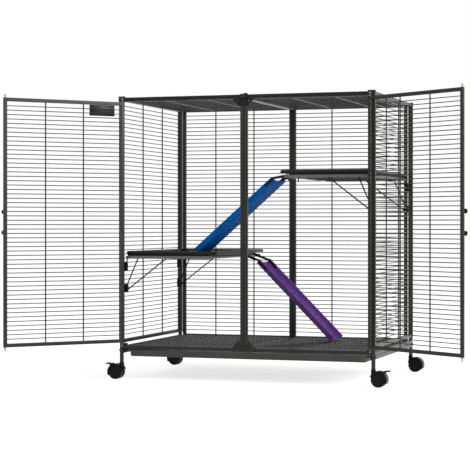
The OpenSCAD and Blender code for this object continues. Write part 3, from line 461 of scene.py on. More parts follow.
# %% Plastics
pan_plastic = finish(
    "pan_plastic", "moulded_plastic", deep=grey(0.044, 1.03, 0.88),
    light=grey(0.076, 1.03, 0.88), scuff=grey(0.11), scuffs=0.2, grain=1100.0, gloss=0.36,
    bump=0.12, specular=0.25)
tray_plastic = finish(
    "shelf_tray_plastic", "moulded_plastic", deep=grey(0.007), light=grey(0.016, 1, 1.05),
    scuff=grey(0.09), scuffs=0.30, grain=1000.0, gloss=0.26, bump=0.12, specular=0.12)
knob_plastic = finish(
    "knob_plastic", "moulded_plastic", deep=grey(0.003), light=grey(0.008), scuff=grey(0.1),
    scuffs=0.35, grain=1600.0, gloss=0.20, bump=0.08, depth=0.0001, specular=0.15)
clip_plastic = finish(
    "clip_plastic", "moulded_plastic", deep=grey(0.003), light=grey(0.008), scuff=grey(0.08),
    scuffs=0.2, grain=1500.0, gloss=0.36, bump=0.1, depth=0.0001, specular=0.12)
caster_plastic = finish(
    "caster_hood_plastic", "moulded_plastic", deep=grey(0.002), light=grey(0.005),
    scuff=grey(0.06), scuffs=0.3, grain=1400.0, gloss=0.24, bump=0.1, depth=0.0001,
    specular=0.12)
wheel_plastic = finish(
    "wheel_plastic", "moulded_plastic", deep=grey(0.003), light=grey(0.009),
    scuff=grey(0.10, 1.1, 0.9), scuffs=0.45, grain=1200.0, gloss=0.34, bump=0.15,
    specular=0.12)
blue_plastic = finish(
    "blue_ramp_plastic", "moulded_plastic", deep=(0.001, 0.086, 0.340, 1),
    light=(0.002, 0.155, 0.550, 1), scuff=(0.03, 0.24, 0.58, 1), scuffs=0.22, grain=900.0,
    gloss=0.30, bump=0.10, specular=0.035)
purple_plastic = finish(
    "purple_ramp_plastic", "moulded_plastic", deep=(0.120, 0.048, 0.240, 1),
    light=(0.200, 0.090, 0.365, 1), scuff=(0.42, 0.30, 0.54, 1), scuffs=0.25, grain=900.0,
    gloss=0.30, bump=0.10, specular=0.035)
print("plastics made:", len(bpy.data.materials), "materials in all")

# %% [markdown]
# ## Frame and wires
# The tubes, the welded wire panels and the rails keep their CAD solids, because a rounded
# tube and a round wire are already right. They only need their paint. A CAD node's object
# gets its material in its first slot, and nothing else about it changes.

# %% Paint for the solids that stay
def both(*names):
    """Each name with left and with right before it."""
    return [f"{side_name}_{name}" for name in names for _, side_name in both_sides]


painted = {
    frame_paint: both("side_panel", "back_panel", "door_panel", "pan_runner")
    + ["centre_post", "base_frame", "bottom_centre_bracket", "hinge_brackets"],
    roof_wire_sheen_paint: both("top_panel"),
    grate_paint: both("floor_grate"),
    shelf_frame_painted_light: ["lower_shelf_frame", "upper_shelf_frame"],
    black_paint: ["front_top_rail", "top_centre_bracket", "post_caps", "left_door_plate"],
    rod_paint: ["lower_shelf_rods", "upper_shelf_rods", "blue_ramp_hooks",
                "purple_ramp_hooks"],
    clip_plastic: ["lower_shelf_clips", "upper_shelf_clips"],
    bright_steel: both("hinge_pins", "upper_latch_rod", "lower_latch_rod", "latch_spring"),
    screw_steel: ["frame_screws"],
    pan_plastic: ["floor_pan"],
    tray_plastic: ["lower_shelf_tray", "upper_shelf_tray"],
    blue_plastic: ["blue_ramp"], purple_plastic: ["purple_ramp"],
    caster_plastic: [name for name in nodes if "caster_fork" in name or "brake_lever" in name],
    wheel_plastic: [name for name in nodes if "caster_wheels" in name],
    knob_plastic: [name for name in nodes if "latch_knob" in name],
}
for material, names in painted.items():
    for name in names:
        nodes[name].data.materials.clear()
        nodes[name].data.materials.append(material)
plain = [name for name in nodes if nodes[name].data.materials[0].name not in
         {m.name for m in painted}]
print("solids without a finish:", plain)

# %% [markdown]
# ## Latch knobs
# Each door shuts with two sprung rods, and you pinch their knobs together to pull the rods
# out of the brackets. The knobs are turned plastic with a waist for the fingers, so half an
# outline is spun round its axis. Shallow flutes round the head stop wet fingers slipping.

# %% Latch knobs
face_out = door_t / 2 + seat
flute_from, flute_depth, flute_waves = 0.0065, 0.05, 12
knob_head = [(0.0056, 0), (0.0061, 0.0006), (0.0061, 0.0013), (0.0050, 0.0024),
             (0.0041, 0.0036), (0.0039, 0.0052), (0.0046, 0.0064), (0.0068, 0.0073),
             (0.0079, 0.0084), (0.0081, 0.0095), (0.0077, 0.0106), (0.0068, 0.0119),
             (0.0054, 0.0131), (0.0037, 0.0141), (0.0024, 0.0143), (0.0021, 0.0139),
             (0, 0.0139)]
knob_outline = [(0, 0.0005), (0.0014, 0.0005), (0.0014, 0.0031), (0.0026, 0.0031),
                (0.0026, face_out)] + [(r, face_out + out) for r, out in knob_head]
for side, side_name in both_sides:
    for way, half_name in halves:
        bm = bmesh.new()
        made = turned(bm, knob_outline, steps=48)
        for v in made:
            if math.hypot(v.co.x, v.co.y) > flute_from:
                turn = math.atan2(v.co.y, v.co.x)
                flute = 1 - flute_depth * (0.5 + 0.5 * math.cos(flute_waves * turn))
                v.co.x, v.co.y = v.co.x * flute, v.co.y * flute
        centre = at(door_reach, 0, knob_z + way * knob_gap / 2)
        placed(bm, made, door_frame(side) @ centre @ towards_front)
        piece(f"{side_name}_{half_name}_pull_knob", bm, knob_plastic,
              f"{side_name}_{half_name}_latch", "black_knobs",
              f"{side_name}_{half_name}_latch_knob")

# %% [markdown]
# ## Latch springs
# One coil spring sits between the two rods of a door and pushes them apart. It is made as
# two halves that meet in the middle.

# %% Latch springs
coils, coil_steps, coil_r, coil_wire = 8, 20, 0.0025, 0.00045
rod_tail, latch_travel = 0.0085, 0.0122
spring_half = knob_gap / 2 - rod_tail - seat
for side, side_name in both_sides:
    spring_place = door_frame(side) @ at(door_reach, 0, knob_z)
    for way, half_name in halves:
        bm = bmesh.new()
        steps = coils // 2 * coil_steps
        rise = way * (spring_half - coil_wire) / steps
        turns = [way * math.tau * i / coil_steps for i in range(steps + 1)]
        coil = bent_rod(bm, [(coil_r * math.cos(a), coil_r * math.sin(a), i * rise)
                             for i, a in enumerate(turns)], coil_wire, sides=8)
        placed(bm, coil, spring_place)
        spring = piece(f"{side_name}_{half_name}_half_spring", bm, bright_steel,
                       f"{side_name}_door", "bright_steel", f"{side_name}_latch_spring")
        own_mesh(spring)

# %% [markdown]
# ## Door plate
# A bare plate is fixed to the wires of the left door near the hinge. It is pressed from one
# sheet, with a raised border. One block gets the border from an inset and a small drop of
# the middle, and a bevel softens every edge so that it catches the light.

# %% Door plate
plate_w, plate_t, plate_h, border_w, border_h = 0.095, 0.003, 0.037, 0.0036, 0.0014
bm = bmesh.new()
plate_low = Vector((0.027, -0.0071, door_top - rail_h - seat - plate_h))
made = block(bm, plate_low, plate_low + Vector((plate_w, plate_t, plate_h)))
outer = min({f for v in made for f in v.link_faces}, key=lambda f: f.calc_center_median().y)
bmesh.ops.inset_region(bm, faces=[outer], thickness=border_w)
bmesh.ops.translate(bm, vec=(0, border_h, 0), verts=list(outer.verts))
bevel(bm, list(bm.edges), 0.0005, 2)
placed(bm, list(bm.verts), door_frame(left))
piece("door_plate", bm, black_paint, "left_door", "door_plate", "left_door_plate")

# %% [markdown]
# ## Caps and screws
# The open tops of the corner posts are closed by square plastic caps with a low pyramid.
# The rails are held by black pan-head screws with a hexagon socket. A screw is a turned
# shape whose socket ring is pushed into a hexagon. There are twelve, so each is light. The
# same piece holds the flat dome of the screw on top of the roof bracket.

# %% Post caps
cap_half, cap_h, cap_slope, cap_rise = post_w / 2, 0.0028, 0.0022, 0.0009
bm = bmesh.new()
for x in (-post_x, post_x):
    for y in (-post_y, post_y):
        made = block(bm, (x - cap_half, y - cap_half, cage_top + seat),
                     (x + cap_half, y + cap_half, cage_top + cap_h))
        cap_faces = {f for v in made for f in v.link_faces}
        top = max(cap_faces, key=lambda f: f.calc_center_median().z)
        bmesh.ops.inset_region(bm, faces=[top], thickness=cap_slope)
        bmesh.ops.translate(bm, vec=(0, 0, cap_rise), verts=list(top.verts))
bevel(bm, list(bm.edges), 0.0006, 2)
piece("post_top_caps", bm, clip_plastic, "cage_frame", "black_fittings", "post_caps")


# %% Screws
screw_x1, screw_x2, base_rail_z, leg_screw_z = 0.064, 0.395, 0.107, 0.1005
socket_r, socket_scale = 0.0015, 0.9


def screw(bm, place):
    """A pan-head screw with a hexagon socket, its head along Z of the place."""
    made = turned(bm, [(0, -0.011), (0.0024, -0.011), (0.0024, 0), (0.0040, 0),
                       (0.0040, 0.0006), (0.0036, 0.0013), (0.0027, 0.0018),
                       (0.0017, 0.0020), (0.0015, 0.0019), (0.0015, 0.0008), (0, 0.0008)],
                  steps=24)
    for v in made:
        if abs(math.hypot(v.co.x, v.co.y) - socket_r) < 0.0001:
            turn = math.atan2(v.co.y, v.co.x) % math.radians(60) - math.radians(30)
            v.co.x = v.co.x / math.cos(turn) * socket_scale
            v.co.y = v.co.y / math.cos(turn) * socket_scale
    placed(bm, made, place)


bm = bmesh.new()
for z in (base_rail_z + 0.0085, cage_top - rail_h / 2):
    for x in (-screw_x2, -screw_x1, screw_x1, screw_x2):
        screw(bm, at(x, -half_d - seat, z) @ towards_front)
for side in (left, right):
    for y in (-post_y, post_y):
        outward = Matrix.Rotation(side * math.radians(90), 4, "Y")
        screw(bm, at(side * (post_x + 0.0073), y, leg_screw_z) @ outward)
turned(bm, [(0, 0), (0.0069, 0), (0.0070, 0.0006), (0.0066, 0.0016), (0.0056, 0.0026),
            (0.0040, 0.0033), (0.0020, 0.0037), (0, 0.0038)],
       at(0.005, -half_d + rail_h / 2, cage_top + 0.0023))
piece("pan_head_screws", bm, screw_steel, "cage_frame", "black_fittings", "frame_screws")

# %% [markdown]
# ## Brackets
# Three kinds of folded steel bracket hold the doors: one over the middle of the roof, one
# over the middle of the base, and a pair at each hinge. They are plates cut to an outline,
# with tabs that stand forward and are drilled for the rods. A plate with holes is filled
# between its outlines and then thickened. The roof bracket has two windowed gussets, made
# as a piece of their own so that they take the deeper black of the rods. That darker black
# is painted shade: the gussets are the same steel as the rest of the bracket.

# %% Centre brackets
bracket_back, bracket_t, tab_t = -half_d - seat, 0.0033, 0.005
tab_front, tab_half, rod_hole = hinge_y - 0.007, latch_x + 0.008, 0.0034
high_tab = door_top + 0.0033


def rod_tab(bm, z):
    """A tab drilled for the two latch rods."""
    round_front = (arc_points((tab_half - 0.004, tab_front + 0.004), 0.004, 0, -90, 5)
                   + arc_points((-tab_half + 0.004, tab_front + 0.004), 0.004, -90, -180, 5))
    outline = [(tab_half, bracket_back)] + round_front + [(-tab_half, bracket_back)]
    holes = [arc_points((x, hinge_y), rod_hole, 0, 345, 23) for x in (-latch_x, latch_x)]
    plate(bm, [outline] + holes, tab_t, at(0, 0, z), edge=0.0004)


bracket_half, wing, gusset_low = 0.0128, 0.038, high_tab - 0.025
bm = bmesh.new()
for s in (left, right):
    gusset = [(s * bracket_half, gusset_low), (s * wing, high_tab - 0.003),
              (s * wing, high_tab), (s * bracket_half, high_tab)]
    window = [(s * (bracket_half + 0.004), gusset_low + 0.0125),
              (s * (wing - 0.0145), high_tab - 0.0065),
              (s * (bracket_half + 0.004), high_tab - 0.0065)]
    plate(bm, [gusset, window], 0.0030, upright(bracket_back), edge=0.0004)
# The gussets take the rod paint, a deeper black than their bracket: painted shade.
piece("roof_bracket_gussets", bm, rod_paint, "cage_frame", "black_fittings",
      "top_centre_bracket")

bm = bmesh.new()
roof_top = cage_top + 0.002
roof_outline = [(-bracket_half, gusset_low), (bracket_half, gusset_low),
                (bracket_half, roof_top), (-bracket_half, roof_top)]
plate(bm, [roof_outline], bracket_t, upright(bracket_back), edge=0.0005)
block(bm, (-bracket_half, bracket_back - bracket_t, cage_top + seat),
      (bracket_half, -half_d + rail_h, roof_top), edge=0.0004)
rod_tab(bm, high_tab)
piece("roof_latch_bracket", bm, black_paint, "cage_frame", "black_fittings",
      "top_centre_bracket")

foot, foot_low, foot_top, tab_top = 0.041, 0.106, 0.150, door_z - 0.0115 + 0.008
shoulder, neck, groove, groove_deep = 0.1195, bracket_half + 0.003, 0.002, 0.0015
bm = bmesh.new()
foot_outline = [(-foot, foot_low), (foot, foot_low), (foot, shoulder), (neck, foot_top),
                (-neck, foot_top), (-foot, shoulder)]
plate(bm, [foot_outline], bracket_t - groove_deep, upright(bracket_back))
for s in (left, right):
    raised = [(s * groove, foot_low), (s * foot, foot_low), (s * foot, shoulder),
              (s * neck, foot_top), (s * groove, foot_top)]
    plate(bm, [raised], groove_deep, upright(bracket_back - bracket_t + groove_deep),
          edge=0.0004)
rod_tab(bm, tab_top - tab_t)
piece("base_latch_bracket", bm, frame_paint, "cage_frame", "black_fittings",
      "bottom_centre_bracket")

# %% Hinge brackets
hinge_r, pin_hole, low_tab, low_tab_top = 0.008, 0.00305, 0.1198, 0.126
bm = bmesh.new()
for side in (left, right):
    middle = side * hinge_x
    outline = ([(middle + hinge_r, bracket_back), (middle + hinge_r, hinge_y)]
               + arc_points((middle, hinge_y), hinge_r, 0, -180, 14)
               + [(middle - hinge_r, bracket_back)])
    hole = arc_points((middle, hinge_y), pin_hole, 0, 345, 23)
    for z0, z1 in ((low_tab, low_tab_top), (high_tab, high_tab + tab_t)):
        plate(bm, [outline, hole], z1 - z0, at(0, 0, z0), edge=0.0004)
    block(bm, (side * (hinge_x - 0.013), bracket_back - 0.001, low_tab),
          (side * (post_x - 0.008), -half_d + rail_h, low_tab_top), edge=0.0004)
    block(bm, (side * (half_w - 0.025), bracket_back - bracket_t, high_tab),
          (side * half_w, bracket_back, cage_top + 0.004), edge=0.0006)
piece("door_hinge_brackets", bm, frame_paint, "cage_frame", "black_fittings", "hinge_brackets")

# %% [markdown]
# ## Shelf trays
# A tray is one moulded piece of black plastic: a floor that hangs in a thick rounded rim.
# A block with fully rounded edges gives the rim. Three insets, each pushed down, sink its
# top to the floor and leave sloping inner edges. A lower block under the rim sits down in
# the shelf frame.

# %% Shelf trays
shelf_end, shelf_front, shelf_rear = 0.438, -0.284, 0.268
rim_up, rim_h, corner_r, rim_r = 0.015, 0.012, 0.010, 0.0056
for name, (side, level, free_x) in shelves.items():
    bm = bmesh.new()
    rim_z = level + rim_up
    block(bm, (side * shelf_end, shelf_front - 0.002, rim_z),
          (side * (free_x - 0.017), shelf_rear + 0.002, rim_z + rim_h))
    uprights = [e for e in bm.edges if abs(e.verts[0].co.z - e.verts[1].co.z) > 0.005]
    bevel(bm, uprights, corner_r, 6)
    rims = [e for e in bm.edges if len(e.link_faces) == 2 and e.calc_face_angle() > 1.2]
    bevel(bm, rims, rim_r, 6)
    top = max(bm.faces, key=lambda f: f.calc_area() * (abs(f.normal.z) > 0.9)
              * (f.calc_center_median().z > rim_z + rim_h / 2))
    for inward, down in ((0.0064, 0.0012), (0.0012, 0.0058), (0.0016, 0.0006)):
        bmesh.ops.inset_region(bm, faces=[top], thickness=inward)
        bmesh.ops.translate(bm, vec=(0, 0, -down), verts=list(top.verts))
    block(bm, (side * (shelf_end - 0.004), shelf_front + 0.003, rim_z - 0.0047),
          (side * (free_x + 0.013), shelf_rear - 0.003, rim_z + 0.002), edge=0.003, segments=3)
    piece(f"{name}_moulded_tray", bm, tray_plastic, "cage_frame", "tray_plastic",
          f"{name}_shelf_tray")

# %% [markdown]
# ## Shelf supports
# Each shelf hangs on its wall by plastic clips and is propped by bent rods that run down to
# plastic blocks on the wires. A rod is one circle pushed along its path. The ends of the
# rods turn, as a rod that is bent over a bar does. The clips are blocks with a raised band
# and a round screw head.

# %% Clips, blocks and rods
stay_offset, wire_r, prop_r = 0.00335, 0.0015, 0.00225
wire_face = post_x + stay_offset / 2 - wire_r - seat
clip_half, band_half = 0.006, 0.0068
clip_sizes = ((0.015, 0.011, 0.031), (0.017, 0.089, 0.029))
prop_sizes = ((0.010, 0.020, None, 0.004), (0.012, 0.095, 0.055, 0.003),
              (0.012, 0.111, 0.161, 0.003))
clip_screw = [(0, -0.002), (0.0042, -0.002), (0.0042, 0.0002), (0.0034, 0.0013),
              (0.0016, 0.0017), (0, 0.0017)]
for name, (side, level, _) in shelves.items():
    clips, rods = bmesh.new(), bmesh.new()
    inwards = Matrix.Rotation(side * math.radians(-90), 4, "Y")
    for y in (shelf_front + 0.005, shelf_rear - 0.005):
        for reach, drop, tall in clip_sizes:
            top = level - drop
            block(clips, (side * wire_face, y - clip_half, top - tall),
                  (side * (wire_face - reach), y + clip_half, top), edge=0.002, segments=3)
            block(clips,
                  (side * (wire_face - reach + 0.004), y - band_half, top - tall * 0.62),
                  (side * (wire_face - 0.003), y + band_half, top - tall * 0.38), edge=0.0008)
            screw_at = at(side * (wire_face - reach), y, top - tall / 2)
            turned(clips, clip_screw, screw_at @ inwards, steps=20)
        for inward, drop, away, lift in prop_sizes:
            foot_at = Vector((side * (wire_face - inward), y, level - drop))
            head_x = shelf_end - 0.005 if away is None else wire_face - away
            head_at = Vector((side * head_x, y, level + lift))
            run = (head_at - foot_at).normalized()
            into_block = Vector((side * 0.006, 0, -0.001))
            bent_rod(rods, [foot_at + into_block, foot_at, foot_at + run * 0.004,
                            head_at - run * 0.004, head_at], prop_r)
    piece(f"{name}_shelf_clamps", clips, clip_plastic, "cage_frame", "black_fittings",
          f"{name}_shelf_clips")
    piece(f"{name}_shelf_props", rods, rod_paint, "cage_frame", "black_steel",
          f"{name}_shelf_rods")

# %% [markdown]
# ## Ramps
# A ramp is a long moulded trough with round lower corners and a rim that turns outwards.
# Its section is drawn once as a closed outline and pushed out to length. Four flutes along
# the floor keep it from sagging, and low treads cross them for grip. Each ramp hangs on the
# round bar of its shelf by two flat hooks. A hook lies inside each wall, goes over the bar
# and ends in a tail that hangs straight down behind it. Two rivets clamp it through the wall
# to a strap outside.

# %% Ramps
ramp_w, ramp_h, ramp_t, ramp_round, ramp_lift = 0.128, 0.020, 0.0025, 0.010, 0.0145
flute_w, flute_h, flute_count, rim_out = 0.011, 0.0022, 4, 0.002
tread_count, tread_half = 11, 0.002
flat, ramp_half = ramp_w - 2 * ramp_round, ramp_w / 2
corner_x, outer_x = ramp_half - ramp_round, ramp_half + rim_out


def flutes(height, way):
    """The raised flutes along the floor, seen in section, from one side to the other."""
    reach, slant = way * flute_w / 2, way * flute_h
    points = []
    for i in range(flute_count):
        middle = way * ((i + 0.5) * flat / flute_count - flat / 2)
        points += [(middle - reach - slant, height), (middle - reach, height + flute_h),
                   (middle + reach, height + flute_h), (middle + reach + slant, height)]
    return points


trough = ([(-outer_x, ramp_h), (-outer_x, ramp_h - ramp_t), (-ramp_half, ramp_h - ramp_t)]
          + arc_points((-corner_x, ramp_round), ramp_round, 180, 270, 9)
          + flutes(0, 1)
          + arc_points((corner_x, ramp_round), ramp_round, 270, 360, 9)
          + [(ramp_half, ramp_h - ramp_t), (outer_x, ramp_h - ramp_t), (outer_x, ramp_h),
             (ramp_half - ramp_t, ramp_h)]
          + arc_points((corner_x, ramp_round), ramp_round - ramp_t, 360, 270, 9)
          + flutes(ramp_t, -1)
          + arc_points((-corner_x, ramp_round), ramp_round - ramp_t, 270, 180, 9)
          + [(-ramp_half + ramp_t, ramp_h)])
along_slope = Matrix(((0, 0, 1, 0), (1, 0, 0, 0), (0, 1, 0, 0), (0, 0, 0, 1)))


def ramp_body(arm, long, near_y, placement):
    """The trough with its treads, in the frame of the hooks."""
    bm = bmesh.new()
    place = at(arm, near_y + ramp_half, ramp_lift) @ along_slope
    plate(bm, [trough], long, place, edge=0.0005)
    floor_z = ramp_lift + ramp_t
    for i in range(tread_count):
        x = arm + (i + 0.5) * long / tread_count
        block(bm, (x - tread_half, near_y + ramp_round, floor_z - 0.0005),
              (x + tread_half, near_y + ramp_w - ramp_round, floor_z + flute_h), edge=0.0007)
    placed(bm, list(bm.verts), placement)
    return bm


ramp_sizes = {"blue": (0.039, 0.375, shelf_front + 0.026, 41.2737, "upper"),
              "purple": (0.052, 0.394, 0.076, 45.1204, "lower")}
ramp_plastics = {"blue": blue_plastic, "purple": purple_plastic}
for name, (arm, long, near_y, slope, shelf) in ramp_sizes.items():
    piece(f"{name}_trough", ramp_body(arm, long, near_y, ramp_frame(shelf, slope)),
          ramp_plastics[name], f"{name}_ramp", f"{name}_plastic", f"{name}_ramp")

# %% Ramp hooks
hook_in, hook_out, hook_t, hook_w = 0.0043, 0.0083, 0.003, 0.008
hook_len, hook_drop, corner_cut = 0.042, 0.016, 0.0015
hook_mid = ramp_lift + ramp_h - hook_w / 2 - 0.0015
strap_mid, strap_t = hook_mid - 0.002, 0.0016
rivet = [(0, -0.0085), (0.0024, -0.0085), (0.0024, 0), (0.0023, 0.0002), (0.0016, 0.0004),
         (0, 0.0004)]


def flat_bar(start, stop, middle):
    """Outline of a flat bar with broken corners."""
    low, high, cut = middle - hook_w / 2, middle + hook_w / 2, corner_cut
    return [(start, low + cut), (start + cut, low), (stop - cut, low), (stop, low + cut),
            (stop, high - cut), (stop - cut, high), (start + cut, high), (start, high - cut)]


for name, (arm, _, near_y, slope, shelf) in ramp_sizes.items():
    bm = bmesh.new()
    down = Matrix.Rotation(math.radians(slope), 2)
    tail = [tuple(down @ Vector(p)) for p in ((-hook_in - 0.0003, -hook_drop),
                                              (-hook_out + 0.0003, -hook_drop),
                                              (-hook_out + 0.0003, -0.002))]
    bar_end = flat_bar(arm, arm + hook_len, hook_mid)[2:6]
    outline = (arc_points((0, 0), hook_in, slope - 12, 180 + slope, 18) + tail
               + arc_points((0, 0), hook_out, 186 + slope, 112, 12)
               + [(arm, hook_mid + hook_w / 2)] + bar_end[::-1]
               + [(arm + 0.002, hook_mid - hook_w / 2), (0.0052, 0.0008)])
    strap = flat_bar(arm + 0.002, arm + hook_len, strap_mid)
    for wall, inward in ((near_y, 1), (near_y + ramp_w, -1)):
        inside, outside = wall + inward * (ramp_t + seat), wall - inward * seat
        plate(bm, [outline], hook_t, upright(max(inside, inside + inward * hook_t)),
              edge=0.0005)
        plate(bm, [strap], strap_t, upright(max(outside, outside - inward * strap_t)),
              edge=0.0004)
        turn = Matrix.Rotation(math.radians(90 * inward), 4, "X")
        for x in (arm + 0.010, arm + 0.034):
            place = at(x, outside - inward * strap_t, strap_mid)
            turned(bm, rivet, place @ turn, steps=16)
    placed(bm, list(bm.verts), ramp_frame(shelf, slope))
    piece(f"{name}_hook_straps", bm, rod_paint, f"{name}_ramp", "black_steel",
          f"{name}_ramp_hooks")

# %% [markdown]
# ## Floor pan
# The pan under the grates is a shallow tray that pulls out like a drawer. It starts as a block
# without a lid. Its lower edges get a wide bevel, its corners a narrower one, and the sheet
# is then thickened inwards. The lips that ride on the runners are added along both sides.

# %% Floor pan
pan_half, pan_aside, pan_z, pan_top, pan_rear = 0.420, 0.005, 0.0805, 0.1028, 0.283
pan_corner, pan_round, pan_sheet, lip_w, lip_t = 0.006, 0.009, 0.003, 0.014, 0.0025
bm = bmesh.new()
block(bm, (pan_aside - pan_half, -half_d, pan_z), (pan_aside + pan_half, pan_rear, pan_top))
lid = max(bm.faces, key=lambda f: f.calc_center_median().z)
bmesh.ops.delete(bm, geom=[lid], context="FACES_ONLY")
corners = [e for e in bm.edges if abs(e.verts[0].co.z - e.verts[1].co.z) > 0.01]
bevel(bm, corners, pan_corner, 4)
lower = [e for e in bm.edges
         if len(e.link_faces) == 2 and max(v.co.z for v in e.verts) < pan_z + 1e-5]
bevel(bm, lower, pan_round, 3)
bmesh.ops.recalc_face_normals(bm, faces=bm.faces)
bmesh.ops.solidify(bm, geom=list(bm.faces), thickness=pan_sheet)
for side in (left, right):
    block(bm, (pan_aside + side * (pan_half - 0.001), -half_d + 0.004, pan_top - lip_t),
          (pan_aside + side * (pan_half + lip_w), pan_rear - 0.004, pan_top), edge=0.0008)
piece("moulded_floor_pan", bm, pan_plastic, "floor_pan", "pan_plastic", "floor_pan")

# %% [markdown]
# ## Casters
# The cage rolls on four twin-wheel casters. A curved hood covers both wheels, a web between
# them carries the axle, and a boss on the hood holds the steel stem that goes up into the
# leg. The hood is a thin section swept round the axle by a spin that stops short of a full
# turn. The two front casters have a brake lever over the hood.

# %% Caster hoods
wheel_r, trail, web_half = 0.025, 0.019, 0.0035
hood_r, hood_t, wheel_out = 0.0293, 0.003, 0.0188
hood_start, hood_stop, hood_steps = -26, 162, 30
brake_r, brake_angle, ear_t = 0.0335, math.radians(55), 0.003
brake_x, brake_z = brake_r * math.cos(brake_angle), brake_r * math.sin(brake_angle)
axle = at(trail, 0, wheel_r)
stem_outline = [(0, 0.0930), (0.0036, 0.0930), (0.0040, 0.0926), (0.0040, 0.0587),
                (0.0062, 0.0586), (0.0080, 0.0578), (0.0085, 0.0560), (0.0085, 0.0470),
                (0.0078, 0.0462), (0.0085, 0.0454), (0.0085, 0.0300), (0, 0.0300)]
ear = [(-0.006, -0.005), (-0.001, -0.009)] + arc_points((0, 0), 0.003, -35, 145, 12)
caster_corners = [(side, end, f"{end_name}_{side_name}")
                  for end, end_name in ((front, "front"), (rear, "rear"))
                  for side, side_name in both_sides]


def hood():
    """Hood, web, boss and stem, in the frame of the caster."""
    bm = bmesh.new()
    inner = hood_r - hood_t
    rim = [(inner, wheel_out), (hood_r - 0.0012, wheel_out),
           (hood_r - 0.0003, wheel_out - 0.0008), (hood_r, wheel_out - 0.0022)]
    section = [(r, -w) for r, w in rim] + rim[::-1]
    a = math.radians(hood_start)
    ring = [bm.verts.new((r * math.cos(a), w, r * math.sin(a))) for r, w in section]
    bmesh.ops.spin(bm, geom=[bm.faces.new(ring)], cent=(0, 0, 0), axis=(0, -1, 0),
                   angle=math.radians(hood_stop - hood_start), steps=hood_steps)
    placed(bm, list(bm.verts), axle)
    web = (arc_points((0, 0), inner + 0.001, hood_start, hood_stop, hood_steps)
           + [(-0.005, 0.009), (-0.005, -0.013)])
    plate(bm, [web], 2 * web_half, axle @ upright(web_half), edge=0.0003)
    turned(bm, stem_outline)
    return bm


for side, end, corner in caster_corners:
    bm = hood()
    if end == front:
        for y in (-0.0140, 0.0140):
            pivot = axle @ at(brake_x, 0, brake_z)
            plate(bm, [ear], ear_t, pivot @ upright(y + ear_t / 2), edge=0.0004)
    placed(bm, list(bm.verts), caster_frame(side, end))
    piece(f"{corner}_caster_hood", bm, caster_plastic, f"{corner}_caster",
          "caster_plastic", f"{corner}_caster_fork")

# %% Caster wheels
wheel_half = [(0, 0.0170), (0.0045, 0.0168), (0.0062, 0.0160), (0.0070, 0.0164),
              (0.0082, 0.0164), (0.0092, 0.0150), (0.0180, 0.0146), (0.0192, 0.0158),
              (0.0205, 0.0186), (0.0222, 0.0188), (0.0240, 0.0180), (0.0249, 0.0162),
              (0.0250, 0.0110), (0.0249, 0.0060), (0.0241, 0.0043), (0.0222, 0.0038),
              (0.0035, 0.0038)]
wheel_outline = (wheel_half + [(0.0030, 0.0036), (0.0030, -0.0036)]
                 + [(r, -w) for r, w in reversed(wheel_half)])
for side, end, corner in caster_corners:
    bm = bmesh.new()
    turned(bm, wheel_outline, axle @ towards_front, steps=64)
    placed(bm, list(bm.verts), caster_frame(side, end))
    piece(f"{corner}_twin_wheels", bm, wheel_plastic, f"{corner}_wheels", "wheel_plastic",
          f"{corner}_caster_wheels")

# %% Brake levers
lever_half, pin_half, pin_r = 0.012, 0.0153, 0.0015
pivot = at(trail + brake_x, 0, wheel_r + brake_z)
lever = ([(0, -0.0020), (0.0060, -0.0016), (0.0120, -0.0006), (0.0180, -0.0003),
          (0.0190, 0.0014), (0.0180, 0.0033), (0.0110, 0.0026), (0.0060, 0.0022),
          (0, 0.0024)] + arc_points((0, 0), 0.0027, 110, 250, 8))
for side, side_name in both_sides:
    bm = bmesh.new()
    plate(bm, [lever], 2 * lever_half, pivot @ upright(lever_half), edge=0.0005)
    for x in (0.0100, 0.0125, 0.0150):
        block(bm, (x, -0.0105, 0.0015), (x + 0.0010, 0.0105, 0.0036), pivot, edge=0.0003)
    turned(bm, [(0, 0), (pin_r, 0), (pin_r, 2 * pin_half), (0, 2 * pin_half)],
           pivot @ upright(pin_half), steps=16)
    placed(bm, list(bm.verts), caster_frame(side, front))
    piece(f"front_{side_name}_foot_brake", bm, caster_plastic, f"front_{side_name}_brake",
          "caster_plastic", f"front_{side_name}_brake_lever")

# %% [markdown]
# ## Floor, light and camera
# The cage stands on a pale floor in a pale room, and both look white to the camera and in
# reflections. As a lamp the room gives only a third of that, so that black parts stay
# black. One broad lamp stands at the right, well above the cage, and a weaker one fills in
# from the front left.

# %% Floor
def seen_directly(tree):
    """1 for what the camera sees, straight or in a reflection or through glass."""
    rays = node(tree, "ShaderNodeLightPath").outputs
    mirrored = maths(tree, "MAXIMUM", rays["Is Glossy Ray"], rays["Is Transmission Ray"])
    return maths(tree, "MAXIMUM", rays["Is Camera Ray"], mirrored)


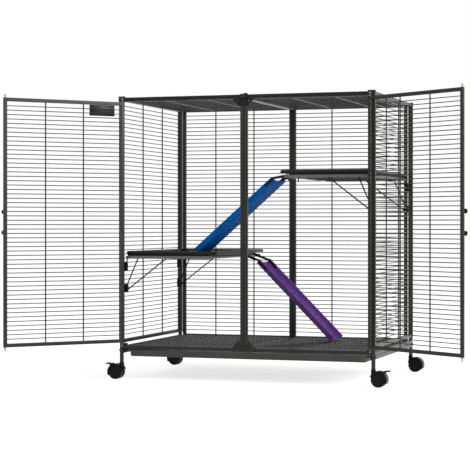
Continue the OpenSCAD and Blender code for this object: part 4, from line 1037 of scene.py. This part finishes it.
floor_size, floor_glow = 30, 0.72
floor_bm = bmesh.new()
bmesh.ops.create_grid(floor_bm, x_segments=1, y_segments=1, size=floor_size)
floor_mesh = bpy.data.meshes.new("studio_floor")
floor_bm.to_mesh(floor_mesh)
floor_bm.free()
floor = bpy.data.objects.new("studio_floor", floor_mesh)
bpy.context.scene.collection.objects.link(floor)
white_floor = bpy.data.materials.new("white_floor")
white_floor.use_nodes = True
tree = white_floor.node_tree
shader = tree.nodes["Principled BSDF"]
shader.inputs["Base Color"].default_value = (0.80, 0.80, 0.80, 1)
shader.inputs["Roughness"].default_value = 0.9
shader.inputs["Specular IOR Level"].default_value = 0.1
shader.inputs["Emission Color"].default_value = (1, 1, 1, 1)
tree.links.new(times(tree, seen_directly(tree), floor_glow),
               shader.inputs["Emission Strength"])
floor_mesh.materials.append(white_floor)

# %% World
room_as_lamp, room_as_seen = 0.34, 1.0
world = bpy.data.worlds.new("white_room")
bpy.context.scene.world = world
world.use_nodes = True
tree = world.node_tree
sky = tree.nodes["Background"]
sky.inputs["Color"].default_value = (1, 1, 1, 1)
strength = node(tree, "ShaderNodeMapRange", {"Value": seen_directly(tree),
                "To Min": room_as_lamp, "To Max": room_as_seen})
tree.links.new(strength.outputs[0], sky.inputs["Strength"])
print("world:", world.name)


# %% Lamps
def lamp(name, place, aim, size, power):
    """A square area lamp that faces a point."""
    light = bpy.data.lights.new(name, "AREA")
    light.shape, light.size, light.energy = "SQUARE", size, power
    made = bpy.data.objects.new(name, light)
    made.location = place
    made.rotation_euler = (Vector(aim) - Vector(place)).to_track_quat("-Z", "Y").to_euler()
    bpy.context.scene.collection.objects.link(made)


cage_middle = (0, 0, 0.5)
lamp("key_lamp", (4.6, -1.3, 2.3), cage_middle, size=2.0, power=190)
lamp("fill_lamp", (-1.8, -4.6, 3.0), cage_middle, size=2.4, power=52)
print("lamps placed")

# %% [markdown]
# The photograph was taken with a long lens from almost six metres, right of the middle and
# a little above half the height of the cage, with the camera held level. Its place was
# solved from the posts and rails. The small shift moves the picture on the sensor, as the
# photograph is framed.

# %% Camera
picture, focal = 470, 1607.59
centre_x, centre_y = 230.34, 223.07
view = bpy.data.cameras.new("studio_camera")
view.sensor_width = 36.0
view.lens = focal / picture * view.sensor_width
view.shift_x = (picture / 2 - centre_x) / picture
view.shift_y = (centre_y - picture / 2) / picture
camera = bpy.data.objects.new("studio_camera", view)
camera.location = (1.67947, -5.49456, 0.5432)
camera.rotation_euler = (math.radians(90), 0, math.radians(18.4))
bpy.context.scene.collection.objects.link(camera)
bpy.context.scene.camera = camera
bpy.context.scene.view_settings.view_transform = "Standard"
print("lens", round(view.lens, 1), "mm")
